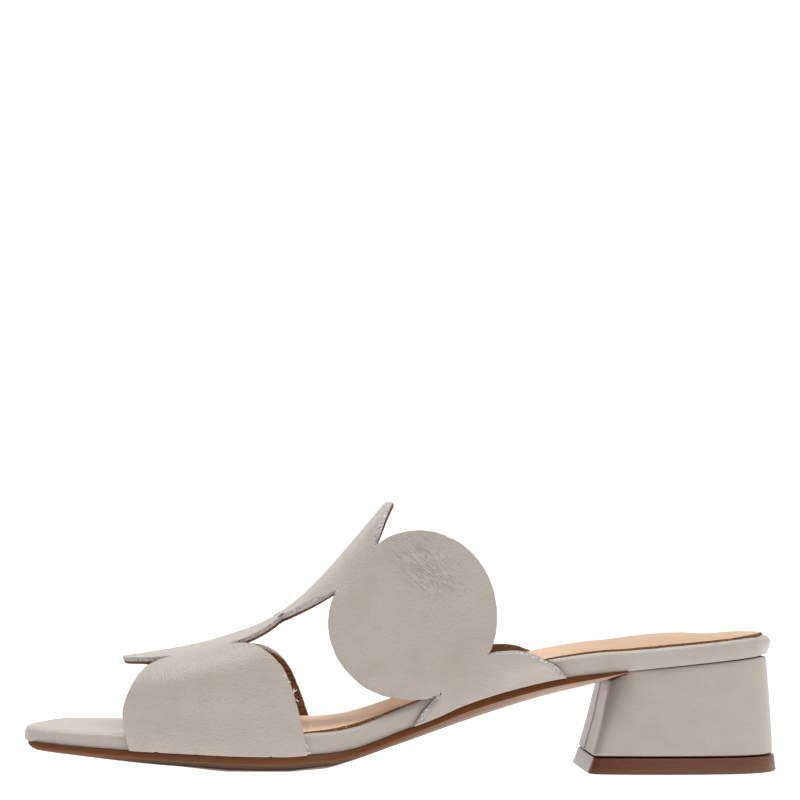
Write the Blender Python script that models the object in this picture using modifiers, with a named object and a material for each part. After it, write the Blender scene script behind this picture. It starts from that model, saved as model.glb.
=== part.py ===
"""Block-heel slide sandal for the right foot, one shoe, women's size of about EU 38.

Last frame, in millimetres: x runs from the toe to the heel, y from the medial
side (negative) to the lateral side (positive), and z up from the floor.  The
upper is one piece of leather cut as a cluster of round discs: two on the
ridge over the foot, and on each side one beside the front disc and two below
the rear one.  It is laid out flat as (u, v), u along the ridge and v round
the girth, and then bent over the last.
"""
import math
from bisect import bisect_right

import bmesh
import bpy
from mathutils import Vector
from mathutils.geometry import delaunay_2d_cdt

MM = 0.001
MEDIAL = -1
LATERAL = 1

# Driving dimensions of the whole shoe.
TOE_X = 2.2
BACK_X = 254.8
CLEARANCE = 0.3
STRAP_CLEARANCE = 0.45
LEATHER = 2.4
OUTSOLE_LIP = 1.2
SOCK_INSET = 1.8
SOCK_THICKNESS = 0.9
SOCK_FRONT_X = 47.0
OUTSOLE_END_X = 203.0
TOP_PIECE_HEIGHT = 5.0
EDGE_ROUND = 2.2
SHARP_ANGLE = 40.0

# Plan of the leather-covered board: x, medial y, lateral y.
PLAN = [
    (TOE_X, -29.5, -20.5),
    (3.1, -30.9, -14.5),
    (5.0, -31.4, -8.0),
    (7.5, -31.8, 1.5),
    (10.2, -32.2, 10.0),
    (13.0, -32.6, 17.0),
    (16.2, -33.0, 21.2),
    (20.2, -33.5, 24.4),
    (26.0, -34.4, 27.2),
    (40.0, -36.6, 32.0),
    (60.0, -39.0, 36.5),
    (85.0, -40.0, 39.6),
    (98.0, -39.3, 40.0),
    (112.0, -36.6, 39.2),
    (130.0, -32.3, 36.6),
    (150.0, -29.0, 33.0),
    (172.0, -27.3, 29.6),
    (200.0, -27.6, 28.0),
    (222.0, -28.3, 28.0),
    (236.0, -27.3, 27.0),
    (246.0, -22.9, 22.7),
    (251.0, -17.0, 17.0),
    (254.0, -10.0, 10.0),
    (BACK_X, -5.0, 5.0),
]

# Side profile of the sole on the medial side: x, feather line (top of the outsole),
# board thickness, and how much lower the lateral edge runs.
PROFILE = [
    (0.0, 13.6, 3.7, 0.0),
    (17.0, 11.5, 4.1, 0.0),
    (37.0, 9.7, 5.0, 0.0),
    (54.0, 8.6, 5.8, 0.0),
    (72.5, 7.8, 6.4, 0.0),
    (85.0, 7.8, 6.7, 0.0),
    (98.0, 8.9, 6.8, 0.0),
    (118.0, 13.2, 7.2, 2.6),
    (130.0, 16.8, 7.4, 3.2),
    (146.0, 22.8, 7.4, 2.7),
    (164.0, 28.6, 7.2, 1.6),
    (181.0, 32.4, 6.8, 0.9),
    (202.0, 34.6, 6.4, 0.5),
    (230.0, 37.4, 6.3, 0.4),
    (256.0, 40.0, 6.4, 0.3),
]

# Walking side of the outsole along its middle, flat on the floor at the ball: x, z.
TREAD = [
    (0.0, 10.2),
    (12.0, 8.1),
    (26.0, 5.9),
    (42.0, 3.4),
    (56.0, 1.2),
    (66.0, 0.0),
    (94.0, 0.0),
    (101.0, 1.0),
    (108.0, 3.2),
    (118.0, 6.8),
    (132.0, 11.5),
    (146.0, 16.2),
    (160.0, 20.6),
    (174.0, 24.8),
    (186.0, 28.4),
    (194.0, 31.0),
    (OUTSOLE_END_X, 33.8),
]

# Outer face of the upper along the ridge of the foot: x, z.
RIDGE = [
    (33.3, 39.0),
    (46.0, 41.1),
    (59.5, 43.4),
    (73.1, 47.3),
    (79.9, 50.0),
    (86.6, 53.9),
    (93.4, 59.0),
    (100.2, 65.4),
    (107.0, 72.7),
    (113.9, 80.7),
    (120.7, 88.6),
    (124.3, 92.7),
]

# Fineness of the curves that the last is worked out from.
RIDGE_STEPS = 240
SHOULDER_STEPS = 90
WALL_STEPS = 12
HALVINGS = 40

# Heights above the sole between which the walls stop following the board's edge, and
# distances from the ridge between which the pattern's straight axis takes over from it.
FOLLOW_BOARD = (10.0, 26.0)
RIDGE_RELEASE = (8.0, 30.0)

# Each strap hangs from the ridge in parallel planes: lean of the planes from
# upright (degrees), u of the strap's middle, squareness of the bend at its
# shoulders, the depth over which they bend before the walls run straight down, and
# the share of the width by which the walls close in towards the shoulders.
# The lateral shoulder is rounder than the medial one.
STRAPS = {
    "front": {
        "lean": 9.6, "middle": 28.0, "square": {MEDIAL: 4.6, LATERAL: 2.15},
        "shoulder": 28.0, "pinch": 0.0,
    },
    "rear": {
        "lean": 47.5, "middle": 81.0, "square": {MEDIAL: 5.3, LATERAL: 2.9},
        "shoulder": 45.0, "pinch": 0.045,
    },
}

# Discs of the flat pattern: u, v, radius.
CROWN_FRONT = (28.0, 0.0, 28.0)
CROWN_REAR = (81.2, 0.0, 28.2)
BALL_DISC = {MEDIAL: (24.4, -52.2, 28.0), LATERAL: (31.0, 53.2, 28.0)}
INSTEP_DISC = {MEDIAL: (84.5, -52.7, 28.0), LATERAL: (86.6, 53.6, 28.0)}
WAIST_DISC = {MEDIAL: (79.0, -102.4, 26.3), LATERAL: (78.5, 103.0, 26.8)}

# Where the outer edges of the lowest discs land on the sole: front x, rear x.
BALL_LANDING = {MEDIAL: (35.0, 93.5), LATERAL: (40.0, 100.5)}
WAIST_LANDING = {MEDIAL: (129.5, 181.0), LATERAL: (131.0, 181.0)}

# Free runs of the side discs' edges.  Ball, rear: where the round edge ends below the
# disc's centre, bow in u, bow in v.  Ball, front: where the run ends above the sole, bow
# in u, bow in v.  Waist: bow of the front run; end above the sole and bow of the rear one.
BALL_REAR_RUN = (11.0, 3.6, 9.0)
BALL_FRONT_RUN = (7.0, 0.1, 3.5)
WAIST_FRONT_BOW = 0.6
WAIST_REAR_RUN = (10.0, 0.9)

# The waist discs' free ends stand out from the last: by how much, over which girth, and
# how far above the sole it starts.
CURL = 5.0
CURL_ZONE = (70.0, 86.0)
CURL_START = 9.0
CURL_REACH = 1.1

# Mesh of the pattern.
PATTERN_REACH = 125.0
LANDING_REACH = (-30.0, 150.0)
LONGEST_WALL = 160.0
OUTLINE_STEP = 4.4
ROW_STEP = 6.0
BEND_STEP = 3.6
BEND_ZONE = (14.0, 34.0)
NECK_WELD = 0.08
RUNG_STEP = 9.0

# Levels of the flat layers from their undersides up: offset outwards, squeeze towards
# the middle, share of the thickness, and rise on top of that share.
INSOLE_LEVELS = [
    (-1.1, 1.0, 0.0, 0.0),
    (-0.3, 1.0, 0.0, 0.7),
    (0.0, 1.0, 1.0, -EDGE_ROUND),
    (-0.3 * EDGE_ROUND, 1.0, 1.0, -0.3 * EDGE_ROUND),
    (-EDGE_ROUND, 1.0, 1.0, 0.0),
]
OUTSOLE_LEVELS = [
    (-2.6, 0.62, 0.0, 0.0),
    (-2.6, 0.84, 0.12, 0.0),
    (OUTSOLE_LIP - 2.4, 1.0, 0.34, 0.0),
    (OUTSOLE_LIP - 0.2, 1.0, 0.54, 0.0),
    (OUTSOLE_LIP, 1.0, 0.94, 0.0),
    (OUTSOLE_LIP - 0.4, 1.0, 1.0, 0.0),
]
SOCK_LEVELS = [
    (-SOCK_INSET - 0.8, 1.0, 0.0, 0.0),
    (-SOCK_INSET, 1.0, 0.2, 0.0),
    (-SOCK_INSET, 1.0, 0.7, 0.0),
    (-SOCK_INSET - 0.6, 1.0, 1.0, 0.0),
]
# Swell of the sock's top along its middle: x, height.
SOCK_SWELL = [
    (165.0, 0.4),
    (190.0, 0.95),
    (215.0, 1.5),
]
FULL_SWELL_WIDTH = 45.0
SWELL_PARTS = 6

# Seat of the heel: gap to the outsole's thin end, and how far behind that end it steps up.
SEAT_GAP = 0.45
SEAT_STEP = (1.8, 3.0)
# Heel block: share of its height, breast x, back x, medial and lateral half-widths.
HEEL_LEVELS = [
    (0.0, 190.7, 253.9, 27.4, 26.2),
    (0.5, 192.8, 253.0, 27.3, 26.6),
    (1.0, 195.2, 251.8, 27.3, 27.0),
]
# Top piece: growth in length at each end past the heel, lip at the sides, z.
TOP_PIECE_LEVELS = [
    (0.9, 0.5, 0.0),
    (1.0, 0.6, 0.5),
    (0.5, 0.5, TOP_PIECE_HEIGHT),
]
# Bow of the block's sides: share of its length, share of its half-width.
HEEL_BOW = [
    (0.0, 0.80),
    (0.02, 0.845),
    (0.06, 0.875),
    (0.165, 0.922),
    (0.2, 0.935),
    (0.4, 0.99),
    (0.58, 1.0),
    (0.74, 0.975),
    (0.86, 0.89),
    (0.94, 0.75),
    (0.985, 0.56),
    (1.0, 0.36),
]


def smooth(rows, x, column=1):
    """Monotone cubic curve through one column of a table whose first column is x."""
    xs = [row[0] for row in rows]
    values = [row[column] for row in rows]
    if x <= xs[0]:
        return values[0]
    if x >= xs[-1]:
        return values[-1]
    widths = [b - a for a, b in zip(xs, xs[1:])]
    rises = [(b - a) / w for a, b, w in zip(values, values[1:], widths)]
    slopes = [rises[0]]
    for before, after, w0, w1 in zip(rises, rises[1:], widths, widths[1:]):
        if before * after <= 0.0:
            slopes.append(0.0)
        else:
            near, far = 2.0 * w1 + w0, w1 + 2.0 * w0
            slopes.append((near + far) / (near / before + far / after))
    slopes.append(rises[-1])
    i = bisect_right(xs, x) - 1
    t = (x - xs[i]) / widths[i]
    hold = values[i] * (1 + 2 * t) * (1 - t) ** 2 + values[i + 1] * t * t * (3 - 2 * t)
    turn = slopes[i] * t * (1 - t) ** 2 - slopes[i + 1] * t * t * (1 - t)
    return hold + widths[i] * turn


def ease(value, low, high):
    """0 below low, 1 above high, and a soft step between them."""
    t = min(max((value - low) / (high - low), 0.0), 1.0)
    return t * t * (3.0 - 2.0 * t)


def board_edge(x, side):
    """Half-width of the board on one side, as a positive number."""
    return side * smooth(PLAN, x, 1 if side == MEDIAL else 2)


def tread(x):
    return smooth(TREAD, x)


def feather(x):
    return smooth(PROFILE, x, 1)


def board_bottom(x):
    return feather(x) + CLEARANCE


def board_top(x):
    return board_bottom(x) + smooth(PROFILE, x, 2)


def twist(x):
    """How much lower the sole's lateral edge runs than its medial edge."""
    return smooth(PROFILE, x, 3)


# ---------------------------------------------------------------- the last

def ridge_table():
    """(u, x, z) along the ridge, u being the length of leather from its front tip."""
    start, end = RIDGE[0][0], RIDGE[-1][0]
    rows = []
    u = 0.0
    for i in range(RIDGE_STEPS + 1):
        x = start + (end - start) * i / RIDGE_STEPS
        z = smooth(RIDGE, x)
        if rows:
            u += math.hypot(x - rows[-1][1], z - rows[-1][2])
        rows.append((u, x, z))
    return rows


RIDGE_BY_LENGTH = ridge_table()


def ridge_point(u, strap):
    """Point (x, z) of the ridge; past the neck and the tips it runs on straight."""
    low, high = (0.0, NECK_U) if strap == "front" else (NECK_U, RIDGE_BY_LENGTH[-1][0])
    inside = min(max(u, low), high)
    lengths = [row[0] for row in RIDGE_BY_LENGTH]
    i = min(max(bisect_right(lengths, inside) - 1, 0), len(lengths) - 2)
    u0, x0, z0 = RIDGE_BY_LENGTH[i]
    u1, x1, z1 = RIDGE_BY_LENGTH[i + 1]
    t = (u - u0) / (u1 - u0)
    return x0 + (x1 - x0) * t, z0 + (z1 - z0) * t


def plane_direction(strap):
    """Unit (x, z) in which a strap's section planes run down from the ridge."""
    lean = math.radians(STRAPS[strap]["lean"])
    return math.sin(lean), -math.cos(lean)


def lift(u, strap):
    """Height of the ridge over the strap's own straight axis."""
    down_x, down_z = plane_direction(strap)
    middle_x, middle_z = ridge_point(STRAPS[strap]["middle"], strap)
    x, z = ridge_point(u, strap)
    return -(x - middle_x) * down_x - (z - middle_z) * down_z


def section(u, strap, side):
    """Half a girth at u as rows of (arc length, y, depth), from the ridge to the sole."""
    key = (round(u, 3), strap, side)
    if key not in section.known:
        shape = STRAPS[strap]
        top_x, top_z = ridge_point(u, strap)
        down_x, down_z = plane_direction(strap)
        low, high = 0.0, LONGEST_WALL
        for _ in range(HALVINGS):
            depth = (low + high) / 2.0
            x = top_x + depth * down_x
            sole_z = feather(x) + STRAP_CLEARANCE - (twist(x) if side == LATERAL else 0.0)
            if top_z + depth * down_z > sole_z:
                low = depth
            else:
                high = depth
        depth = low
        landing_edge = board_edge(top_x + depth * down_x, side)
        width = landing_edge + STRAP_CLEARANCE + LEATHER
        power = 2.0 / shape["square"][side]
        shoulder = shape["shoulder"]
        bends = [0.5 * math.pi * i / SHOULDER_STEPS for i in range(1, SHOULDER_STEPS + 1)]
        half = [
            (width * math.sin(bend) ** power,
             shoulder * (1.0 - max(math.cos(bend), 0.0) ** power))
            for bend in bends
        ]
        wall = [shoulder + (depth - shoulder) * i / WALL_STEPS for i in range(1, WALL_STEPS + 1)]
        half += [(width, d) for d in wall]
        rows = [(0.0, 0.0, 0.0)]
        for y, d in half:
            y *= 1.0 - shape["pinch"] * (1.0 - ease(d, 0.4 * depth, depth))
            spread = board_edge(top_x + d * down_x, side) - landing_edge
            y += spread * (1.0 - ease(depth - d, *FOLLOW_BOARD))
            length = rows[-1][0] + math.hypot(y - rows[-1][1], d - rows[-1][2])
            rows.append((length, y, d))
        section.known[key] = rows
    return section.known[key]


section.known = {}


def girth(u, strap, side):
    """Length of leather from the ridge down to the sole."""
    return section(u, strap, side)[-1][0] - lift(u, strap)


def curl(u, v, strap, side):
    """How far the free edges of the lowest rear disc stand out from the last."""
    if strap == "front":
        return 0.0
    disc_u, _, radius = WAIST_DISC[side]
    off_axis = min(abs(u - disc_u) / radius, CURL_REACH)
    above_sole = ease(girth(u, strap, side) - abs(v), 0.0, CURL_START)
    return CURL * off_axis ** 2 * ease(abs(v), *CURL_ZONE) * above_sole


def lasted(u, v, strap):
    """Outer face of the leather where the flat pattern has (u, v)."""
    side = MEDIAL if v < 0.0 else LATERAL
    length = abs(v) + lift(u, strap) * ease(abs(v), *RIDGE_RELEASE)
    rows = section(u, strap, side)
    lengths = [row[0] for row in rows]
    i = min(max(bisect_right(lengths, length) - 1, 0), len(rows) - 2)
    t = (length - lengths[i]) / (lengths[i + 1] - lengths[i])
    y = rows[i][1] + (rows[i + 1][1] - rows[i][1]) * t
    depth = rows[i][2] + (rows[i + 1][2] - rows[i][2]) * t
    y += curl(u, v, strap, side)
    top_x, top_z = ridge_point(u, strap)
    down_x, down_z = plane_direction(strap)
    return Vector((top_x + depth * down_x, side * y, top_z + depth * down_z)) * MM


# ---------------------------------------------------------------- flat pattern

def crossing(disc_a, disc_b, rear):
    """Where two discs' edges cross, on the side of larger or smaller u."""
    ua, va, ra = disc_a
    ub, vb, rb = disc_b
    apart = math.hypot(ub - ua, vb - va)
    along = (apart ** 2 + ra ** 2 - rb ** 2) / (2.0 * apart)
    half = math.sqrt(ra ** 2 - along ** 2)
    du, dv = (ub - ua) / apart, (vb - va) / apart
    both = [
        (ua + along * du + sign * half * dv, va + along * dv - sign * half * du)
        for sign in (-1, 1)
    ]
    return max(both) if rear else min(both)


NECK_U, NECK_HALF = crossing(CROWN_FRONT, CROWN_REAR, rear=True)


def arc(disc, start, end, step):
    """Points along a disc's edge by the shorter way, from start up to but without end."""
    u, v, radius = disc
    first = math.atan2(start[1] - v, start[0] - u)
    sweep = math.atan2(end[1] - v, end[0] - u) - first
    sweep = (sweep + math.pi) % (2.0 * math.pi) - math.pi
    count = max(2, round(abs(sweep) * radius / step))
    turns = [first + sweep * i / count for i in range(count)]
    return [(u + radius * math.cos(t), v + radius * math.sin(t)) for t in turns]


def on_disc(disc, v, rear):
    """Point of a disc's edge at height v, on its rear or its front side."""
    half = math.sqrt(disc[2] ** 2 - (v - disc[1]) ** 2)
    return (disc[0] + half if rear else disc[0] - half, v)


def bow(start, handle, end, step):
    """Points along a quadratic curve, from start up to but without end."""
    count = max(2, round(math.dist(start, end) / step))
    points = []
    for i in range(count):
        t = i / count
        points.append(tuple(
            (1 - t) ** 2 * a + 2 * t * (1 - t) * b + t * t * c
            for a, b, c in zip(start, handle, end)
        ))
    return points


def landing(x, strap, side):
    """Pattern point whose leather meets the sole at x."""
    low, high = LANDING_REACH
    down_x, _ = plane_direction(strap)
    for _ in range(HALVINGS):
        u = (low + high) / 2.0
        if ridge_point(u, strap)[0] + section(u, strap, side)[-1][2] * down_x < x:
            low = u
        else:
            high = u
    return (low, side * girth(low, strap, side))


def sole_line(start, end, strap, side, step):
    """Points where the leather meets the sole, from start up to but without end."""
    count = max(2, round(abs(end[0] - start[0]) / step))
    us = [start[0] + (end[0] - start[0]) * i / count for i in range(count)]
    return [(u, side * girth(u, strap, side)) for u in us]


def ball_half(side, step):
    """Front strap on one side, from the neck round to the front tip of the crown."""
    crown, disc = CROWN_FRONT, BALL_DISC[side]
    neck = (NECK_U, side * NECK_HALF)
    rear_notch = crossing(crown, disc, rear=True)
    front_notch = crossing(crown, disc, rear=False)
    front_x, rear_x = BALL_LANDING[side]
    rear_foot = landing(rear_x, "front", side)
    front_foot = landing(front_x, "front", side)
    below, bow_u, bow_v = BALL_REAR_RUN
    leave = on_disc(disc, disc[1] - side * below, rear=True)
    handle = (leave[0] + bow_u, leave[1] + side * bow_v)
    above, bow_u, bow_v = BALL_FRONT_RUN
    join = on_disc(disc, side * (abs(front_foot[1]) - above), rear=False)
    front_handle = (join[0] + bow_u, join[1] + side * bow_v)
    tip = (crown[0] - crown[2], 0.0)
    return (
        arc(crown, neck, rear_notch, step)
        + arc(disc, rear_notch, leave, step)
        + bow(leave, handle, rear_foot, step)
        + sole_line(rear_foot, front_foot, "front", side, step)
        + bow(front_foot, front_handle, join, step)
        + arc(disc, join, front_notch, step)
        + arc(crown, front_notch, tip, step)
    )


def instep_half(side, step):
    """Rear strap on one side, from the neck round to the rear tip of the crown."""
    crown, disc, low_disc = CROWN_REAR, INSTEP_DISC[side], WAIST_DISC[side]
    neck = (NECK_U, side * NECK_HALF)
    front_x, rear_x = WAIST_LANDING[side]
    front_foot = landing(front_x, "rear", side)
    rear_foot = landing(rear_x, "rear", side)
    notches = [
        crossing(a, b, rear)
        for a, b, rear in (
            (crown, disc, False), (disc, low_disc, False),
            (disc, low_disc, True), (crown, disc, True),
        )
    ]
    front_handle = (
        (notches[1][0] + front_foot[0]) / 2.0 + WAIST_FRONT_BOW,
        (notches[1][1] + front_foot[1]) / 2.0,
    )
    above, rear_bow = WAIST_REAR_RUN
    join = on_disc(low_disc, side * (abs(rear_foot[1]) - above), rear=True)
    rear_handle = (
        (join[0] + rear_foot[0]) / 2.0 + rear_bow,
        (join[1] + rear_foot[1]) / 2.0,
    )
    tip = (crown[0] + crown[2], 0.0)
    return (
        arc(crown, neck, notches[0], step)
        + arc(disc, notches[0], notches[1], step)
        + bow(notches[1], front_handle, front_foot, step)
        + sole_line(front_foot, rear_foot, "rear", side, step)
        + bow(rear_foot, rear_handle, join, step)
        + arc(low_disc, join, notches[2], step)
        + arc(disc, notches[2], notches[3], step)
        + arc(crown, notches[3], tip, step)
    )


def strap_outline(strap, step):
    """Closed outline of one strap; both straps share the points of the neck line."""
    half = ball_half if strap == "front" else instep_half
    medial, lateral = half(MEDIAL, step), half(LATERAL, step)
    tip_u = 0.0 if strap == "front" else CROWN_REAR[0] + CROWN_REAR[2]
    count = max(2, round(2.0 * NECK_HALF / step))
    neck_line = [(NECK_U, NECK_HALF - 2.0 * NECK_HALF * i / count) for i in range(1, count)]
    return medial + [(tip_u, 0.0)] + lateral[:0:-1] + [lateral[0]] + neck_line


def inside(point, outline, margin):
    """Whether a point lies within the outline and at least margin from its edge."""
    u, v = point
    within = False
    for (ua, va), (ub, vb) in zip(outline, outline[1:] + outline[:1]):
        if (va > v) != (vb > v) and u < ua + (ub - ua) * (v - va) / (vb - va):
            within = not within
        length = (ub - ua) ** 2 + (vb - va) ** 2
        t = min(max(((u - ua) * (ub - ua) + (v - va) * (vb - va)) / length, 0.0), 1.0)
        if math.hypot(u - ua - t * (ub - ua), v - va - t * (vb - va)) < margin:
            return False
    return within


def pattern_rows():
    """v of the rows of inner points, closer together where the leather bends."""
    rows = [0.0]
    while rows[-1] < PATTERN_REACH:
        bending = BEND_ZONE[0] <= rows[-1] < BEND_ZONE[1]
        rows.append(rows[-1] + (BEND_STEP if bending else ROW_STEP))
    return [-v for v in rows[:0:-1]] + rows


def strap_faces(strap):
    """Flat pattern points and triangles of one strap."""
    outline = strap_outline(strap, OUTLINE_STEP)
    points = list(outline)
    low = min(u for u, _ in outline)
    high = max(u for u, _ in outline)
    for row, v in enumerate(pattern_rows()):
        u = low + (ROW_STEP / 2.0 if row % 2 else 0.0)
        while u < high:
            if inside((u, v), outline, 0.5 * BEND_STEP):
                points.append((u, v))
            u += ROW_STEP
    edges = [(i, (i + 1) % len(outline)) for i in range(len(outline))]
    flat = [Vector(point) for point in points]
    result = delaunay_2d_cdt(flat, edges, [], 1, 1e-6)
    return [tuple(point) for point in result[0]], result[2]


# ---------------------------------------------------------------- objects

def material(name, colour, roughness, metallic=0.0):
    made = bpy.data.materials.new(name)
    made.use_nodes = True
    shader = made.node_tree.nodes["Principled BSDF"]
    shader.inputs["Base Color"].default_value = (*colour, 1.0)
    shader.inputs["Roughness"].default_value = roughness
    shader.inputs["Metallic"].default_value = metallic
    made.diffuse_color = (*colour, 1.0)
    return made


def add_object(name, mesh_data, finish):
    """Close a bmesh into a named object of the sandal."""
    bmesh.ops.recalc_face_normals(mesh_data, faces=mesh_data.faces)
    mesh = bpy.data.meshes.new(name)
    mesh_data.to_mesh(mesh)
    mesh_data.free()
    mesh.materials.append(finish)
    mesh.shade_smooth()
    mesh.set_sharp_from_angle(angle=math.radians(SHARP_ANGLE))
    made = bpy.data.objects.new(name, mesh)
    SANDAL.objects.link(made)
    return made


def outline_normals(loop):
    """Outward unit normals of a closed plan loop: medial side to the heel, lateral back."""
    normals = []
    for before, after in zip(loop[-1:] + loop[:-1], loop[1:] + loop[:1]):
        dx, dy = after[0] - before[0], after[1] - before[1]
        length = math.hypot(dx, dy)
        normals.append((dy / length, -dx / length))
    return normals


def plan_rings(medial, lateral, bottom, top, levels):
    """Rings over one plan outline, one for each row of a table of levels.

    A squeeze of 1 leaves a ring as it is, and less draws it towards the middle.
    """
    loop = medial + lateral[::-1]
    opposite = lateral + medial[::-1]
    normals = outline_normals(loop)
    rings = []
    for offset, squeeze, share, rise in levels:
        ring = []
        for (x, y), (_, across), (nx, ny) in zip(loop, opposite, normals):
            middle = (y + across) / 2.0
            squeezed = middle + (y - middle) * squeeze
            lateral_share = 0.5 + 0.5 * squeeze * (1.0 if y > across else -1.0)
            z = bottom(x) + (top(x) - bottom(x)) * share + rise - twist(x) * lateral_share
            ring.append((x + offset * nx, squeezed + offset * ny, z))
        rings.append(ring)
    return rings


def closed_stack(name, rings, finish, dome=None):
    """A solid walled by rings, bottom first, and closed by rungs from side to side.

    dome(x) is the height of the swell of the top face between its edges.
    """
    shape = bmesh.new()
    loops = [[shape.verts.new(Vector(point) * MM) for point in ring] for ring in rings]
    count = len(rings[0])
    for below, above in zip(loops, loops[1:]):
        for i in range(count):
            j = (i + 1) % count
            shape.faces.new((below[i], below[j], above[j], above[i]))
    for loop, swelling in ((loops[0], None), (loops[-1], dome)):
        pieces = SWELL_PARTS if swelling else 1
        ladder = []
        for a, b in zip(loop[:count // 2], reversed(loop[count // 2:])):
            rung = [a]
            for k in range(1, pieces):
                t = k / pieces
                place = a.co.lerp(b.co, t)
                wide = min(1.0, (b.co.y - a.co.y) / (FULL_SWELL_WIDTH * MM))
                swell = swelling(a.co.x / MM) * wide ** 2
                place.z += swell * 4.0 * t * (1.0 - t) * MM
                rung.append(shape.verts.new(place))
            ladder.append(rung + [b])
        for near, far in zip(ladder, ladder[1:]):
            for k in range(pieces):
                shape.faces.new((near[k], near[k + 1], far[k + 1], far[k]))
        if pieces > 1:
            shape.faces.new(ladder[0])
            shape.faces.new(ladder[-1])
    return add_object(name, shape, finish)


def board_sides(start, end):
    """Plan points of the board's medial and lateral edges at the same x on both."""
    stations = [row[0] for row in PLAN]
    xs = []
    for a, b in zip(stations, stations[1:]):
        parts = max(1, math.ceil((b - a) / RUNG_STEP))
        xs += [a + (b - a) * i / parts for i in range(parts)]
    kept = [x for x in xs if start + 1.0 < x < end - 1.0]
    used = [start] + kept + [end]
    return [[(x, smooth(PLAN, x, column)) for x in used] for column in (1, 2)]


def make_insole(finish):
    rings = plan_rings(*board_sides(TOE_X, BACK_X), board_bottom, board_top, INSOLE_LEVELS)
    return closed_stack("insole", rings, finish)


def make_outsole(finish):
    rings = plan_rings(*board_sides(TOE_X, OUTSOLE_END_X), tread, feather, OUTSOLE_LEVELS)
    return closed_stack("outsole", rings, finish)


def make_sock(finish):
    def under(x):
        return board_top(x) + CLEARANCE

    def over(x):
        return under(x) + SOCK_THICKNESS

    def swell(x):
        return smooth(SOCK_SWELL, x)

    rings = plan_rings(*board_sides(SOCK_FRONT_X, BACK_X), under, over, SOCK_LEVELS)
    return closed_stack("sock", rings, finish, dome=swell)


def heel_ring(front, back, medial, lateral, height):
    """Plan ring of the heel block: flat breast, bowed sides and a squarish back."""
    sides = []
    for half in (-medial, lateral):
        side = []
        for t, part in HEEL_BOW:
            side.append((front + (back - front) * t, half * part))
        sides.append(side)
    loop = sides[0] + sides[1][::-1]
    return [(x, y, height(x, y)) for x, y in loop]


def heel_seat(x):
    """Top of the heel block: under the outsole's thin end, then under the board."""
    under_outsole = tread(x) - SEAT_GAP
    step = ease(x - OUTSOLE_END_X, *SEAT_STEP)
    return under_outsole + (feather(x) - under_outsole) * step


def make_heel(finish):
    joint = TOP_PIECE_HEIGHT + CLEARANCE
    rings = []
    for share, front, back, medial, lateral in HEEL_LEVELS:
        def height(x, y, share=share):
            seat = heel_seat(x) - (twist(x) if y > 0.0 else 0.0)
            return joint + (seat - joint) * share
        rings.append(heel_ring(front, back, medial, lateral, height))
    return closed_stack("heel", rings, finish)


def make_top_piece(finish):
    _, front, back, medial, lateral = HEEL_LEVELS[0]
    rings = [
        heel_ring(front - grow, back + grow, medial + lip, lateral + lip, lambda x, y, z=z: z)
        for grow, lip, z in TOP_PIECE_LEVELS
    ]
    return closed_stack("top_piece", rings, finish)


def make_upper(finish):
    """One wall of leather: both straps laid over the last and joined at the neck."""
    shape = bmesh.new()
    for strap in STRAPS:
        points, triangles = strap_faces(strap)
        verts = [shape.verts.new(lasted(u, v, strap)) for u, v in points]
        for triangle in triangles:
            shape.faces.new([verts[i] for i in triangle])
    bmesh.ops.remove_doubles(shape, verts=shape.verts, dist=NECK_WELD * MM)
    bmesh.ops.recalc_face_normals(shape, faces=shape.faces)
    if sum(face.normal.z for face in shape.faces) < 0.0:
        bmesh.ops.reverse_faces(shape, faces=shape.faces)
    mesh = bpy.data.meshes.new("upper")
    shape.to_mesh(mesh)
    shape.free()
    mesh.materials.append(finish)
    mesh.shade_smooth()
    upper = bpy.data.objects.new("upper", mesh)
    SANDAL.objects.link(upper)
    wall = upper.modifiers.new("wall", "SOLIDIFY")
    wall.thickness = LEATHER * MM
    wall.offset = -1.0
    wall.use_even_offset = True
    return upper


def stand_on_origin(objects):
    """Hang every piece on an empty that puts the middle of the footprint at the origin."""
    bpy.context.view_layer.update()
    corners = []
    graph = bpy.context.evaluated_depsgraph_get()
    for item in objects:
        corners += [Vector(corner) for corner in item.evaluated_get(graph).bound_box]
    low = [min(corner[axis] for corner in corners) for axis in range(3)]
    high = [max(corner[axis] for corner in corners) for axis in range(3)]
    stand = bpy.data.objects.new("stand", None)
    SANDAL.objects.link(stand)
    stand.location = (-(low[0] + high[0]) / 2.0, -(low[1] + high[1]) / 2.0, -low[2])
    for item in objects:
        item.parent = stand


for existing in list(bpy.data.objects):
    bpy.data.objects.remove(existing, do_unlink=True)
SANDAL = bpy.data.collections.new("sandal")
bpy.context.scene.collection.children.link(SANDAL)

greige_leather = material("greige_leather", (0.62, 0.57, 0.51), 0.5)
tan_sock_leather = material("tan_sock_leather", (0.75, 0.56, 0.40), 0.6)
brown_sole = material("brown_sole", (0.22, 0.12, 0.08), 0.55)

stand_on_origin([
    make_outsole(brown_sole),
    make_insole(greige_leather),
    make_sock(tan_sock_leather),
    make_heel(greige_leather),
    make_top_piece(brown_sole),
    make_upper(greige_leather),
])
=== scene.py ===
"""Right-foot slide sandal with a block heel, dressed in its leathers, lining and sole.

Lengths are millimetres of the last until a piece is formed: x from the toe to the
heel, y from the medial side (negative) to the lateral side, z up from the floor.
"""

import math
from bisect import bisect_right

import bmesh
import bpy
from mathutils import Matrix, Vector, kdtree, noise


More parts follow.
